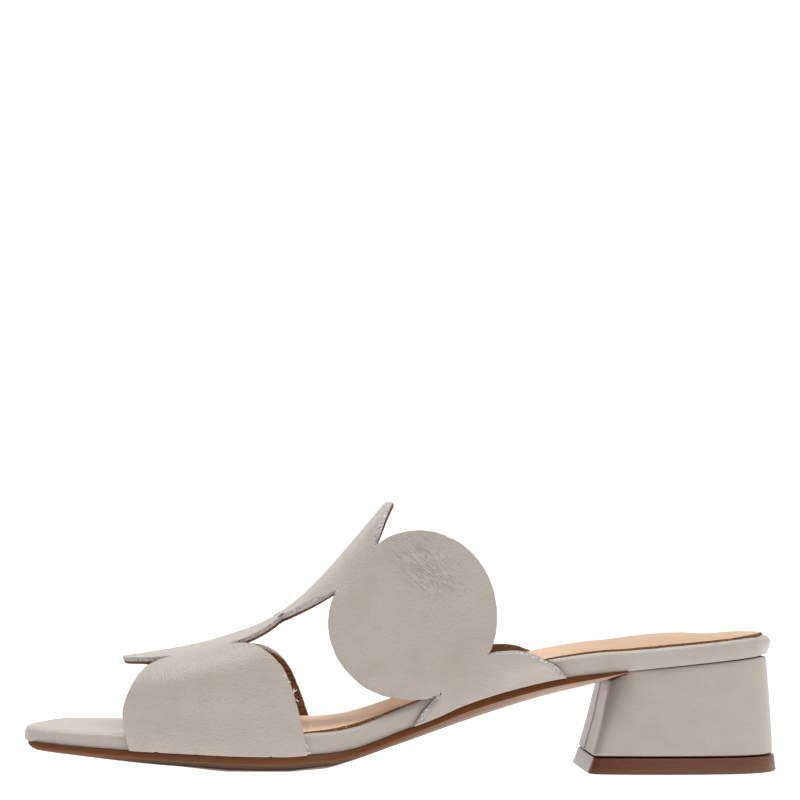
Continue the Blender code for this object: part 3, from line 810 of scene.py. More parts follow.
def creases(tree):
    """Relief of the strained leather on the upper part of the large medial disc.

    Fine winding grooves lie in a patch round the strain, and soft ripples reach wider.
    """
    flat = add(tree, "ShaderNodeUVMap", {"uv_map": "pattern"}).outputs["UV"]
    strain = stretched(tree, flat, (95.0, 15.0, 1.0), 0.12,
                       Scale=1.0, Detail=1.0, Distortion=0.5)
    ripples = stretched(tree, flat, (120.0, 45.0, 1.0), 0.3, Scale=1.0, Detail=1.0)
    middled = add(tree, "ShaderNodeMath", {"operation": "SUBTRACT", 1: 0.5}, _0=strain)
    spread = add(tree, "ShaderNodeMath", {"operation": "ABSOLUTE"}, _0=middled.outputs[0])
    grooves = add(tree, "ShaderNodeMapRange",
                  {"From Max": 0.06, "To Max": 1.0, "interpolation_type": "SMOOTHSTEP"},
                  Value=spread.outputs[0]).outputs[0]
    centred = add(tree, "ShaderNodeVectorMath",
                  {"operation": "SUBTRACT", 1: (1.0, -0.42, 0.0)}, _0=flat)
    squashed = add(tree, "ShaderNodeVectorMath",
                   {"operation": "MULTIPLY", 1: (11.0, 6.5, 0.0)}, _0=centred.outputs[0])
    away = add(tree, "ShaderNodeVectorMath", {"operation": "LENGTH"}, _0=squashed.outputs[0])
    parts = []
    for relief, near, far, weight in ((grooves, 0.35, 1.3, 0.9), (ripples, 0.8, 2.6, 1.3)):
        patch = add(tree, "ShaderNodeMapRange",
                    {"From Min": near, "From Max": far, "To Min": 1.0, "To Max": 0.0},
                    Value=away.outputs["Value"])
        kept = add(tree, "ShaderNodeMath", {"operation": "MULTIPLY"}, _0=relief,
                   _1=patch.outputs[0])
        parts.append((kept.outputs[0], weight))
    return parts


def finished_leather(name, tone, light_tone, grain_mm, grain_height, creased=False,
                     with_painted_shade=False):
    """Corrected-grain calf, embossed and sprayed with a greige pigment coat.

    The eye sees an even, closed colour, a fine grain that catches the light as small
    soft grains, and a low sheen without reflections.
    """
    made, tree, shader = new_material(name)
    place = add(tree, "ShaderNodeTexCoord").outputs["Object"]
    wobble = add(tree, "ShaderNodeTexNoise", {"Scale": cells(1.6), "Detail": 1.0}, Vector=place)
    shift = add(tree, "ShaderNodeVectorMath", {"operation": "SCALE", "Scale": 0.5 * MM},
                _0=wobble.outputs["Color"])
    moved = add(tree, "ShaderNodeVectorMath", {"operation": "ADD"}, _0=place,
                _1=shift.outputs[0])
    grain = add(tree, "ShaderNodeTexVoronoi",
                {"feature": "SMOOTH_F1", "Scale": cells(grain_mm), "Smoothness": 0.6},
                Vector=moved.outputs[0])
    pores = add(tree, "ShaderNodeTexNoise", {"Scale": cells(0.4), "Detail": 2.0}, Vector=place)
    hide = add(tree, "ShaderNodeTexNoise", {"Scale": cells(9.0), "Detail": 3.0}, Vector=place)
    colour = add(tree, "ShaderNodeValToRGB", {"stops": [(0.3, tone), (0.7, light_tone)]},
                 Fac=hide.outputs[0])
    mixed = toned(tree, colour.outputs[0], pores.outputs[0], 0.2, 0.75, 0.965, 1.03)
    if with_painted_shade:
        # Painted shade: the coat is painted darker in the hollow behind the breast's corner,
        # where shade falls under the outsole's lip.
        fold = add(tree, "ShaderNodeAttribute", {"attribute_name": "fold"})
        mixed = toned(tree, mixed, fold.outputs["Fac"], 0.0, 1.0, 1.0, 0.42)
    parts = [(grain.outputs["Distance"], 0.7), (pores.outputs[0], 0.5),
             (hide.outputs[0], 1.2)]
    if creased:
        parts += creases(tree)
    dress(tree, shader, mixed, 0.38, 0.55, parts, grain_height)
    return made


def cut_leather(name, dark, middle, light):
    """Raw edge of drum-dyed leather, cut with a die and left unpainted.

    The eye sees short fibres, dark gaps between them and pale ends that stand out.
    """
    made, tree, shader = new_material(name)
    place = add(tree, "ShaderNodeTexCoord").outputs["Object"]
    fibres = add(tree, "ShaderNodeTexNoise",
                 {"Scale": cells(0.75), "Detail": 3.0, "Roughness": 0.7}, Vector=place)
    tufts = add(tree, "ShaderNodeTexVoronoi", {"Scale": cells(0.6)}, Vector=place)
    colour = add(tree, "ShaderNodeValToRGB",
                 {"stops": [(0.33, dark), (0.45, middle), (0.57, middle), (0.66, light)]},
                 Fac=fibres.outputs[0])
    parts = [(fibres.outputs[0], 1.0), (tufts.outputs["Distance"], 0.5)]
    dress(tree, shader, colour.outputs[0], 0.95, 0.1, parts, 0.4)
    return made


def lining_leather(name, tone, dark, line_mm):
    """Pigskin lining, dyed through and left matt.

    The eye sees a warm brown with fine darker lines that run round the foot.
    """
    made, tree, shader = new_material(name)
    flat = add(tree, "ShaderNodeUVMap", {"uv_map": "pattern"}).outputs["UV"]
    wrinkles = stretched(tree, flat, (18.0, 1.0 / (UV_PER_MM * line_mm), 1.0), 0.25,
                         Scale=1.0, Detail=2.0, Distortion=0.6)
    colour = add(tree, "ShaderNodeValToRGB", {"stops": [(0.38, dark), (0.56, tone)]},
                 Fac=wrinkles)
    dress(tree, shader, colour.outputs[0], 0.85, 0.15, [(wrinkles, 1.0)], 0.15)
    return made


# Between these x the sock is painted lighter at the front, which the straps shade, and darker
# towards the heel, open to the overhead light: painted light and shade.
SOCK_PAINTED_LIGHT_SPAN = (130.0, 200.0)


def sock_leather(name, tone, light_tone):
    """Vegetable-tanned sock leather, plated smooth.

    The eye sees a peach tan with faint lengthwise streaks, painted lighter at the front and
    darker towards the heel as painted light and shade.
    """
    made, tree, shader = new_material(name)
    place = add(tree, "ShaderNodeTexCoord").outputs["Object"]
    streaks = stretched(tree, place, (0.12, 1.0, 1.0), Scale=cells(2.2), Detail=3.0)
    hide = add(tree, "ShaderNodeTexNoise", {"Scale": cells(14.0), "Detail": 2.0}, Vector=place)
    blend = add(tree, "ShaderNodeMath", {"operation": "MULTIPLY_ADD", 1: 0.45, 2: 0.0},
                _0=streaks)
    summed = add(tree, "ShaderNodeMath", {"operation": "MULTIPLY_ADD", 1: 0.55},
                 _0=hide.outputs[0], _2=blend.outputs[0])
    colour = add(tree, "ShaderNodeValToRGB", {"stops": [(0.35, tone), (0.65, light_tone)]},
                 Fac=summed.outputs[0])
    axes = add(tree, "ShaderNodeSeparateXYZ", Vector=place)
    # Painted light and shade: the colour is scaled up at the front and down towards the heel.
    front, rear = (LAST_TO_FRAME.x + x * MM for x in SOCK_PAINTED_LIGHT_SPAN)
    mixed = toned(tree, colour.outputs[0], axes.outputs["X"], front, rear, 1.34, 0.84)
    fine = add(tree, "ShaderNodeTexNoise", {"Scale": cells(0.5), "Detail": 2.0}, Vector=place)
    dress(tree, shader, mixed, 0.5, 0.25, [(fine.outputs[0], 0.5), (streaks, 0.8)], 0.06)
    return made


def moulded_rubber(name, stops, roughness, specular):
    """Thermoplastic rubber, moulded, with edges buffed and stained after moulding.

    The stops are (x, colour) along the shoe: on the side a stain that darkens and lightens, on
    the bevel, its foot and its brink painted contact shade, darkest at the ball where the sole
    meets the floor, and on the lift's front a pale painted reflection. The eye sees an even
    brown drawn out lengthwise by the wheel, with a soft shine.
    """
    made, tree, shader = new_material(name)
    place = add(tree, "ShaderNodeTexCoord").outputs["Object"]
    axes = add(tree, "ShaderNodeSeparateXYZ", Vector=place)
    start = LAST_TO_FRAME.x
    share = add(tree, "ShaderNodeMapRange",
                {"From Min": start, "From Max": start + BACK_X * MM},
                Value=axes.outputs["X"])
    colour = add(tree, "ShaderNodeValToRGB",
                 {"stops": [(x / BACK_X, code) for x, code in stops]}, Fac=share.outputs[0])
    drag = stretched(tree, place, (0.08, 1.0, 1.0), Scale=cells(0.8), Detail=2.0)
    mixed = toned(tree, colour.outputs[0], drag, 0.3, 0.7, 0.93, 1.08)
    dress(tree, shader, mixed, roughness, specular, [(drag, 1.0)], 0.05)
    return made


upper_grain = finished_leather("embossed_calf_upper", "#bbb0a5", "#c2b8ae", 0.65, 0.26,
                               creased=True)
board_grain = finished_leather("embossed_calf_board_cover", "#bdb3a8", "#c4bbb1", 0.65, 0.15)
heel_grain = finished_leather("embossed_calf_heel_cover", "#bbb0a6", "#c1b7ad", 0.6, 0.12,
                              with_painted_shade=True)
raw_edge = cut_leather("die_cut_leather_edge", "#8a8580", "#c6c2bf", "#fbfaf8")
flesh_side = cut_leather("buffed_leather_flesh", "#8a7465", "#9c8677", "#b29d8e")
upper_lining = lining_leather("pigskin_upper_lining", "#8f6b4c", "#6a4a32", 0.55)
lining_edge = cut_leather("die_cut_lining_edge", "#5f3c27", "#85593c", "#b08562")
sock_face = sock_leather("plated_sock_leather", "#dfb591", "#e9c5a3")
sock_edge = cut_leather("die_cut_sock_edge", "#4a2c1a", "#865a3b", "#c99a73")
sole_side = moulded_rubber(
    "buffed_rubber_sole_edge",
    [(0.0, "#663f26"), (40.0, "#6c432a"), (95.0, "#744b33"), (112.0, "#6c4024"),
     (140.0, "#6a3d1e"), (200.0, "#683b1e")], 0.5, 0.08,
)
# Painted contact shade: the bevel is darker at the ball, where the sole meets the floor, and
# paler towards the waist.
sole_bevel = moulded_rubber(
    "rubber_bevel_painted_contact_shade",
    [(0.0, "#6b4329"), (27.0, "#7c5539"), (45.0, "#715139"), (98.0, "#74533a"),
     (112.0, "#74513a"), (122.0, "#78553c"), (136.0, "#8c6d59"), (150.0, "#987c6c"),
     (175.0, "#b09584")], 0.5, 0.08,
)
# Painted contact shade: the bevel's foot is darker at the ball, where the sole meets the floor,
# and paler towards the waist.
sole_shade = moulded_rubber(
    "rubber_bevel_foot_painted_contact_shade",
    [(0.0, "#6b4329"), (24.0, "#7a5438"), (40.0, "#56402e"), (98.0, "#5a4230"),
     (112.0, "#74573f"), (122.0, "#7d5c44"), (136.0, "#8a6e5a"), (150.0, "#94786a"),
     (165.0, "#a48c7e"), (178.0, "#b79d8e")], 0.5, 0.08,
)
# Painted contact shadow: the brink is nearly black at the ball, where the sole meets the floor,
# and lighter at the toe and the waist.
sole_brink_painted_shadow = moulded_rubber(
    "rubber_brink_painted_contact_shadow",
    [(0.0, "#86603f"), (24.0, "#6b4a31"), (36.0, "#4a3323"), (50.0, "#1c0f08"),
     (90.0, "#1d110a"), (104.0, "#46301f"), (112.0, "#644a37"), (122.0, "#866850"),
     (136.0, "#92786a"), (155.0, "#a58c7e"), (175.0, "#bda495")], 0.5, 0.08,
)
sole_tread = moulded_rubber(
    "moulded_rubber_tread", [(0.0, "#6d4a35"), (200.0, "#7d5942")], 0.6, 0.3,
)
# Painted reflection: the lift's front face is coloured pale grey for the silvery reflection
# that it shows.
lift_front_painted_reflection = moulded_rubber(
    "rubber_lift_front_painted_reflection", [(190.0, "#b3a8a1"), (250.0, "#b3a8a1")], 0.35, 0.5,
)
lift_rubber = moulded_rubber(
    "moulded_rubber_top_piece", [(190.0, "#6a3f28"), (205.0, "#6f4630"), (250.0, "#714a36")],
    0.4, 0.4,
)


# ---------------------------------------------------------------- upper

# Rim of each layer from its face down: offset outwards, depth under the outer face. The
# die leaves the cut slightly under the face, so no grey edge shows on the near side.
LEATHER_LEVELS = [
    (-0.24, 0.0), (-0.07, 0.06), (0.0, 0.2), (-0.1, 0.8), (-0.24, 1.4), (-0.55, LEATHER),
]
LINING_LEVELS = [
    (-0.6, LEATHER + 0.02), (-0.38, LEATHER + 0.1), (-0.36, 2.1), (-0.6, UPPER_WALL),
]
# Free edges of the rear strap's crown and lowest discs are pared from the face: run of
# the slant at the front and at the rear, |v| over which it ends on the crown and starts
# again, how it fades towards the sole and past the side of a disc.
PARING = (1.9, 1.35)
PARED_CROWN = (23.0, 27.0)
PARED_FROM = (73.0, 76.5)
PARED_ABOVE_SOLE = (0.6, 3.0)
PARED_SIDE = (0.3, 0.8)
PARED_DEPTH = 0.9 * LEATHER
# The front strap's lateral rear edge is pared from the flesh: depth, where the slant
# starts under the face, u and v zones.
FLESH_PARING = 0.9
FLESH_PARED_UNDER = 0.3
FLESH_PARED_U = (42.0, 46.0)
FLESH_PARED_V = (14.0, 22.0, 28.0, 40.0)
# Its medial rear edge is left rough: u and |v| over which that starts, how far the cut
# and its tufts stand out, from which depth, tufts to the millimetre and bare share.
TUFTED_U = (44.0, 48.0)
TUFTED_V = (24.0, 30.0)
TUFT_BASE = 0.12
TUFT_REACH = 0.3
TUFT_DEPTH = 0.6
TUFTS_PER_MM = 0.85
TUFT_BARE = 0.1


def pared(u, v, depth, strap, out):
    """How far the cut lies back at a depth, where an edge is pared to a slant."""
    side = MEDIAL if v < 0.0 else LATERAL
    if strap == "rear":
        run = PARING[0] if out.x < 0.0 else PARING[1]
        zone = ease(abs(v), *PARED_FROM) * (1.0 - ease(side * out.y, *PARED_SIDE))
        zone *= ease(above_sole(u, v, strap), *PARED_ABOVE_SOLE)
        zone += 1.0 - ease(abs(v), *PARED_CROWN)
        return run * zone * max(1.0 - depth / PARED_DEPTH, 0.0)
    if side == MEDIAL:
        rough = ease(u, *TUFTED_U) * ease(abs(v), *TUFTED_V) * min(depth / TUFT_DEPTH, 1.0)
        tuft = max(noise.noise(Vector((v * TUFTS_PER_MM, 0.0, 0.0))) - TUFT_BARE, 0.0)
        return -(TUFT_BASE + TUFT_REACH * tuft) * rough
    start, full, fading, end = FLESH_PARED_V
    zone = ease(u, *FLESH_PARED_U) * ease(v, start, full) * (1.0 - ease(v, fading, end))
    return FLESH_PARING * zone * min(max(depth - FLESH_PARED_UNDER, 0.0) / LEATHER, 1.0)


def above_sole(u, v, strap):
    """Length of leather from a point of the pattern down to the sole."""
    return girth(u, strap, MEDIAL if v < 0.0 else LATERAL) - abs(v)


def ragged(loop, amount, size, free=None):
    """A cut line that wanders by an amount over a length, where free(x, y) lets it."""
    moved = []
    for (x, y), (nx, ny) in zip(loop, outline_normals(loop)):
        slip = amount * noise.noise(Vector((x / size, y / size, 0.0)))
        if free is not None and not free(x, y):
            slip = 0.0
        moved.append((x + slip * nx, y + slip * ny))
    return moved


def upper_layer(name, levels, turned, finishes):
    """One layer of the upper: cut flat from both straps' outlines and laid on the last.

    The finishes are for the face with the rim down to level turned, the cut and the back.
    """
    halves = []
    for strap in STRAPS:
        loop = ragged(
            strap_outline(strap), *CUT_WANDER,
            lambda u, v: above_sole(u, v, strap) > FOOT_MARGIN,
        )
        us, vs = zip(*loop)
        rows = range(math.ceil(min(vs) / CUT_V), math.ceil(max(vs) / CUT_V))
        slab = cut_sheet(
            f"{name}_{strap}", loop, lines(min(us), max(us), CUT_U),
            [k * CUT_V for k in rows], WELD, RIM_REACH,
        )
        last = len(levels) - 1
        layered(
            slab, levels, finishes,
            lambda low, high, face: 0 if high <= turned else (2 if low == last else 1),
        )

        def place(u, v, level, out, strap=strap):
            offset, depth = levels[level]
            offset -= pared(u, v, depth, strap, out)
            return to_frame(*below_face(u + out.x * offset, v + out.y * offset, depth, strap))

        halves.append(form(slab, place))
    return joined(halves, name, SMOOTH_UNDER)


wear(
    upper_layer("upper_leather", LEATHER_LEVELS, 2, [upper_grain, raw_edge, flesh_side]),
    "greige_leather", "upper",
)
wear(
    upper_layer("upper_lining", LINING_LEVELS, 0, [flesh_side, lining_edge, upper_lining]),
    "greige_leather",
)


# ---------------------------------------------------------------- board, sock and outsole

# Steps of the plan: spacing of its points, and the stations that it is built from, their
# step at the ends, its growth away from them and its largest.
LOOP_STEP = 0.9
STATION_STEP = (0.05, 0.1, 1.0)
# Grid of the slabs of board and sole, along and across, and reach of their rims.
SLAB_GRID = (2.6, 3.4)
SLAB_REACH = 14.0


def plan_loop(start, end, offset):
    """Closed plan outline of the board between two x, moved outwards, in even steps."""
    least, growth, most = STATION_STEP
    stations = []
    x = start
    while x < end:
        stations.append(x)
        x += min(least + growth * min(x - start, end - x), most)
    stations.append(end)
    rough = [(x, -board_edge(x, MEDIAL)) for x in stations]
    rough += [(x, board_edge(x, LATERAL)) for x in reversed(stations)]
    moved = [
        (x + offset * nx, y + offset * ny)
        for (x, y), (nx, ny) in zip(rough, outline_normals(rough))
    ]
    return even_loop(moved, LOOP_STEP)


def even_loop(points, step):
    """The same closed loop with its points at even distances."""
    closed = points + points[:1]
    lengths = [0.0]
    for a, b in zip(closed, closed[1:]):
        lengths.append(lengths[-1] + math.dist(a, b))
    count = round(lengths[-1] / step)
    loop = []
    for k in range(count):
        at = lengths[-1] * k / count
        i = min(bisect_right(lengths, at) - 1, len(points) - 1)
        t = (at - lengths[i]) / max(lengths[i + 1] - lengths[i], 1e-9)
        a, b = closed[i], closed[i + 1]
        loop.append((a[0] + (b[0] - a[0]) * t, a[1] + (b[1] - a[1]) * t))
    return loop


def slab_from(name, loop, grid, reach, levels, finishes, choose=lambda low, high, face: 0):
    """A flat slab cut to a loop and divided on a grid, in levels with their finishes."""
    xs, ys = zip(*loop)
    slab = cut_sheet(
        name, loop, lines(min(xs), max(xs), grid[0]), lines(min(ys), max(ys), grid[1]),
        SLAB_WELD, reach,
    )
    layered(slab, levels, finishes, choose)
    return slab


# Rims from the top down: offset outwards, share of the thickness, rise on top of it.
BOARD_LEVELS = [
    (-2.2, 1.0, 0.0), (-1.5, 1.0, -0.13), (-0.85, 1.0, -0.45), (-0.38, 1.0, -0.95),
    (-0.1, 1.0, -1.6), (0.0, 1.0, -2.3), (0.0, 0.4, 0.0), (0.0, 0.0, 0.6),
    (-0.15, 0.0, 0.2), (-0.8, 0.0, 0.0),
]
SOCK_LEVELS = [
    (-0.4, 1.0, 0.0), (-0.1, 1.0, -0.08), (0.0, 0.8, 0.0), (0.05, 0.4, 0.0),
    (0.0, 0.12, 0.0), (-0.3, 0.0, 0.0),
]
# Thickness of the sock and rise of the pad under its middle: x, length.
SOCK_THICKNESS = [
    (47.0, 0.5), (93.0, 0.4), (98.0, 0.6), (104.0, 0.95), (110.0, 1.2), (116.0, 1.1),
    (120.0, 0.9), (126.0, 0.6), (160.0, 0.4), (190.0, 0.32), (222.0, 0.35), (245.0, 0.5),
]
SOCK_SWELL = [
    (150.0, 0.0), (172.0, 0.4), (180.0, 0.95), (190.0, 1.65), (200.0, 1.95), (208.0, 2.55),
    (214.0, 2.85), (219.0, 2.95), (224.0, 2.8), (228.0, 2.3), (232.0, 1.7), (238.0, 1.45),
    (244.0, 1.3), (250.0, 0.65), (254.0, 0.2),
]
# The sock ends short of the seat's back, lies just over the board and is cut by hand:
# how far its edge wanders and over what length.
SOCK_BACK_CUT = 2.0
SOCK_LIFT = 0.05
SOCK_WANDER = ((0.5, 9.0), (0.3, 1.3))
SOCK_GRID = (2.6, 3.0)
SOCK_REACH = 6.0

# The cover's toe stands over the outsole, and its back end is a little shorter.
TOE_OVERHANG = 1.35
TOE_REACH = (2.0, 22.0)
BACK_CUT = 0.8
BACK_REACH = (235.0, 255.0)
# How much further in each of the board's levels lies at the back of the seat.
BACK_SHAPE = (0.8, 0.8, 0.7, 0.5, 0.25, 0.0, 0.35, 1.2, 1.3, 1.3)


def make_board():
    """Shank board wrapped in leather, its top edge rounded and its foot turned in."""
    loop = plan_loop(TOE_X, BACK_X, 0.0)
    slab = slab_from(
        "covered_board", loop, SLAB_GRID, SLAB_REACH, BOARD_LEVELS, [board_grain],
    )

    def place(x, y, level, out):
        offset, share, rise = BOARD_LEVELS[level]
        offset -= BACK_SHAPE[level] * ease(x, *SEAT_END)
        z = board_bottom(x) + smooth(PROFILE, x, 2) * share + rise - twist(x) * across(x, y)
        ahead = TOE_OVERHANG * (1.0 - ease(x, *TOE_REACH)) + BACK_CUT * ease(x, *BACK_REACH)
        return to_frame(x - ahead + out.x * offset, y + out.y * offset, z)

    return form(slab, place)


def make_sock():
    """Sock leather over a pad, swollen under the heel, with a ragged cut edge."""
    loop = plan_loop(SOCK_FRONT_X, BACK_X, -SOCK_INSET)
    for wander in SOCK_WANDER:
        loop = ragged(loop, *wander)
    slab = slab_from(
        "sock_lining", loop, SOCK_GRID, SOCK_REACH, SOCK_LEVELS, [sock_face, sock_edge],
        lambda low, high, face: 0 if high == 0 else 1,
    )

    def place(x, y, level, out):
        offset, share, rise = SOCK_LEVELS[level]
        thickness = smooth(SOCK_THICKNESS, x)
        z = board_top(x) + SOCK_LIFT + thickness * share + rise - twist(x) * across(x, y)
        if level == 0:
            s = 2.0 * across(x, y) - 1.0
            z += smooth(SOCK_SWELL, x) * max(1.0 - s * s, 0.0)
        x -= SOCK_BACK_CUT * ease(x, *SEAT_END)
        return to_frame(x + out.x * offset, y + out.y * offset, z)

    return form(slab, place)


# Side of the outsole from the top down: offset outwards, share of the edge's height.
OUTSOLE_LEVELS = [
    (-0.5, 1.0), (-0.12, 0.985), (0.0, 0.93), (0.0, 0.68), (-0.1, 0.52), (-0.45, 0.36),
    (-1.1, 0.18), (-2.6, 0.0),
]
# Levels from which the bevel, its foot and its brink start; the foot and the brink carry
# painted contact shade, darkest at the ball.
BEVEL_LEVELS = (4, 5, 6)
# The side is squeezed up a little round the board, and stays behind the cover's toe.
OUTSOLE_RAISE = 0.34
OUTSOLE_THINNEST = 0.3
OUTSOLE_SET_BACK = 0.95
OUTSOLE_TOE_REACH = (2.0, 14.0)
# Lower edge of the outsole's side: x, height over the middle of its walking side. The
# bottom is crowned, so that the shoe stands on the middle of the ball.
EDGE_RISE = [
    (0.0, 0.3), (6.0, 0.5), (14.0, 0.9), (30.0, 1.5), (44.0, 2.3), (56.0, 3.25),
    (63.0, 3.65), (70.0, 3.75), (80.0, 3.55), (90.0, 3.6), (98.0, 3.65), (104.0, 3.3),
    (112.0, 2.7), (118.0, 2.45), (140.0, 2.3), (165.0, 2.0), (178.0, 1.6), (184.0, 1.15),
    (190.0, 0.75), (OUTSOLE_END_X, 0.35),
]
CROWN_POWER = 1.25


def make_outsole():
    """Rubber outsole with a bevelled side and a crowned walking side."""
    loop = plan_loop(TOE_X, OUTSOLE_END_X, OUTSOLE_LIP)
    last = len(OUTSOLE_LEVELS) - 1
    slab = slab_from(
        "moulded_outsole", loop, SLAB_GRID, SLAB_REACH, OUTSOLE_LEVELS,
        [sole_side, sole_bevel, sole_shade, sole_brink_painted_shadow, sole_tread],
        lambda low, high, face: 4 if low == last else sum(low >= k for k in BEVEL_LEVELS),
    )

    def place(x, y, level, out):
        offset, share = OUTSOLE_LEVELS[level]
        x, y = x + out.x * offset, y + out.y * offset
        medial, lateral = -board_edge(x, MEDIAL), board_edge(x, LATERAL)
        middle, half = (medial + lateral) / 2.0, (lateral - medial) / 2.0
        floor_z = tread(x)
        edge_z = min(floor_z + smooth(EDGE_RISE, x), feather(x) - OUTSOLE_THINNEST)
        z = edge_z + (feather(x) + OUTSOLE_RAISE - edge_z) * share
        if level == last:
            rim = half + OUTSOLE_LIP + OUTSOLE_LEVELS[last][0]
            near = min(abs(y - middle) / rim, 1.0)
            z = floor_z + (edge_z - floor_z) * near ** CROWN_POWER
        behind = OUTSOLE_SET_BACK * (1.0 - ease(x, *OUTSOLE_TOE_REACH))
        return to_frame(x + behind, y, max(z - twist(x) * across(x, y), FLOOR_Z))

    return form(slab, place)


wear(make_board(), "greige_leather", "insole")
wear(make_sock(), "tan_sock_leather", "sock")
wear(make_outsole(), "brown_sole", "outsole")


# ---------------------------------------------------------------- heel

# Heel block: share of its height, breast x, back x, medial and lateral half-widths.
HEEL_TAPER = [
    (0.0, 190.6, 253.7, 27.4, 26.2), (0.5, 193.3, 252.7, 27.3, 26.6),
    (1.0, 196.0, 251.4, 27.3, 27.0),
]
# Bow of the block's sides: share of its length, share of its half-width.
HEEL_BOW = [
    (0.0, 0.0), (0.0, 0.35), (0.0, 0.7), (0.004, 0.78), (0.016, 0.825), (0.036, 0.855),
    (0.065, 0.877), (0.11, 0.9), (0.2, 0.935), (0.3, 0.966), (0.4, 0.99), (0.58, 1.0),
    (0.74, 0.975), (0.86, 0.89), (0.94, 0.75), (0.985, 0.56), (1.0, 0.36), (1.0, 0.0),
]
HEEL_LENGTH = 60.0
HEEL_HALF = 27.0
# Gap under the outsole's end, and where behind it the seat steps up to the board.
SEAT_GAP = 0.35
SEAT_STEP = (0.6, 2.0)
# Lapped seam on the breast: its y, half-width and clearing, and the step of the lap,
# which fades out over SEAM_FADE.
BREAST_SEAM = 1.5
SEAM_HALF = 0.03
SEAM_CLEAR = 0.3
SEAM_STEP = 0.38
SEAM_FADE = (14.0, 22.0)
# The breast face of the plan: x up to which a point or face is on it, and what a point
# of its rim points to and lies within.
BREAST_X = 0.01
BREAST_FACING = (-0.9, 0.5)
# The breast runs back towards its lateral side, bottom and top, and is hollow across;
# both fade out over BREAST_FADE behind it.
BREAST_SWEEP = (0.7, 1.9)
SWEEP_POWER = 1.5
SWEEP_Y = (-4.0, 27.0)
BREAST_HOLLOW = 0.95
HOLLOW_SHARE = (-0.15, 0.6)
BREAST_FADE = (0.0, 20.0)
# Hollow in each side behind the breast: depth at the top, middle and half of its length,
# share of the height over which it grows.
WAIST_DEPTH = 2.6
WAIST_MIDDLE = 3.4
WAIST_HALF = 7.0
WAIST_SHARE = (0.2, 1.0)
OUTLINE_PARTS = 12


def heel_outline(step, seam):
    """Plan of the heel block at a nominal size, with the breast's lapped seam."""
    rows = [(i, t, s) for i, (t, s) in enumerate(HEEL_BOW)]
    fine = []
    for k in range((len(rows) - 1) * OUTLINE_PARTS + 1):
        at = k / OUTLINE_PARTS
        fine.append((smooth(rows, at, 1) * HEEL_LENGTH, smooth(rows, at, 2) * HEEL_HALF))
    medial = [(x, -y) for x, y in fine]
    loop = even_loop(medial + fine[::-1][:-1], step)
    if seam:
        loop = [p for p in loop if p[0] > BREAST_X or abs(p[1] - BREAST_SEAM) > SEAM_CLEAR]
        after = [i for i, p in enumerate(loop) if p[0] <= BREAST_X and p[1] > BREAST_SEAM]
        where = max(after) + 1 if after else len(loop)
        loop[where:where] = [
            (0.0, BREAST_SEAM + SEAM_HALF), (0.0, BREAST_SEAM - SEAM_HALF),
        ]
    return loop


def heel_seat(x):
    """Top of the heel block: under the outsole's thin end, then under the board."""
    under_outsole = tread(x) - SEAT_GAP
    step = ease(x - OUTSOLE_END_X, *SEAT_STEP)
    return under_outsole + (feather(x) - under_outsole) * step


def block_point(x, y, share):
    """Plan place on the block for nominal x, y at a share of its height."""
    t, s = x / HEEL_LENGTH, y / HEEL_HALF
    front, back = smooth(HEEL_TAPER, share, 1), smooth(HEEL_TAPER, share, 2)
    half = smooth(HEEL_TAPER, share, 3 if s < 0.0 else 4)
    return front + (back - front) * t, half * s


# Cover of the block from the top down: offset outwards, share of the height, rise.
COVER_LEVELS = [
    (-0.7, 1.0, 0.0), (-0.2, 1.0, -0.2), (0.0, 1.0, -0.7), (0.0, 0.92, 0.0),
    (0.0, 0.84, 0.0), (0.0, 0.74, 0.0), (0.0, 0.62, 0.0), (0.0, 0.5, 0.0),
    (0.0, 0.38, 0.0), (0.0, 0.26, 0.0), (0.0, 0.14, 0.0), (0.0, 0.05, 0.0),
    (-0.05, 0.0, 0.7), (-0.3, 0.0, 0.25), (-0.9, 0.0, 0.0),
]
# From this level on the cover is turned in and takes the dark edge finish: its cut edge, and
# painted shade in the slit over the lift.
COVER_TURNED_IN = 13
COVER_GRID = (2.2, 2.6)
HEEL_REACH = 8.0
HEEL_STEP = 0.8
HEEL_SHARP = 50.0
# Painted shade in the hollow where the cover is drawn round the corner of the breast: x where
# it starts, reach at the bottom and how much more at the top, darkening at the bottom and how
# much more.
FOLD_SHADE_START = (0.15, 0.9)
FOLD_SHADE_END = 3.0
FOLD_SHADE_REACH = 5.5
FOLD_SHADE_STRENGTH = (0.3, 0.7)
# The corner's upper end is drawn down: how far, |y| and x where, share of the height.
CORNER_DROP = 0.45
CORNER_Y = (13.0, 24.0)
CORNER_X = (0.5, 6.0)
CORNER_SHARE = 0.84
# Slit over the lift.
LIFT_TOP = 5.15
HEEL_GAP = 0.5


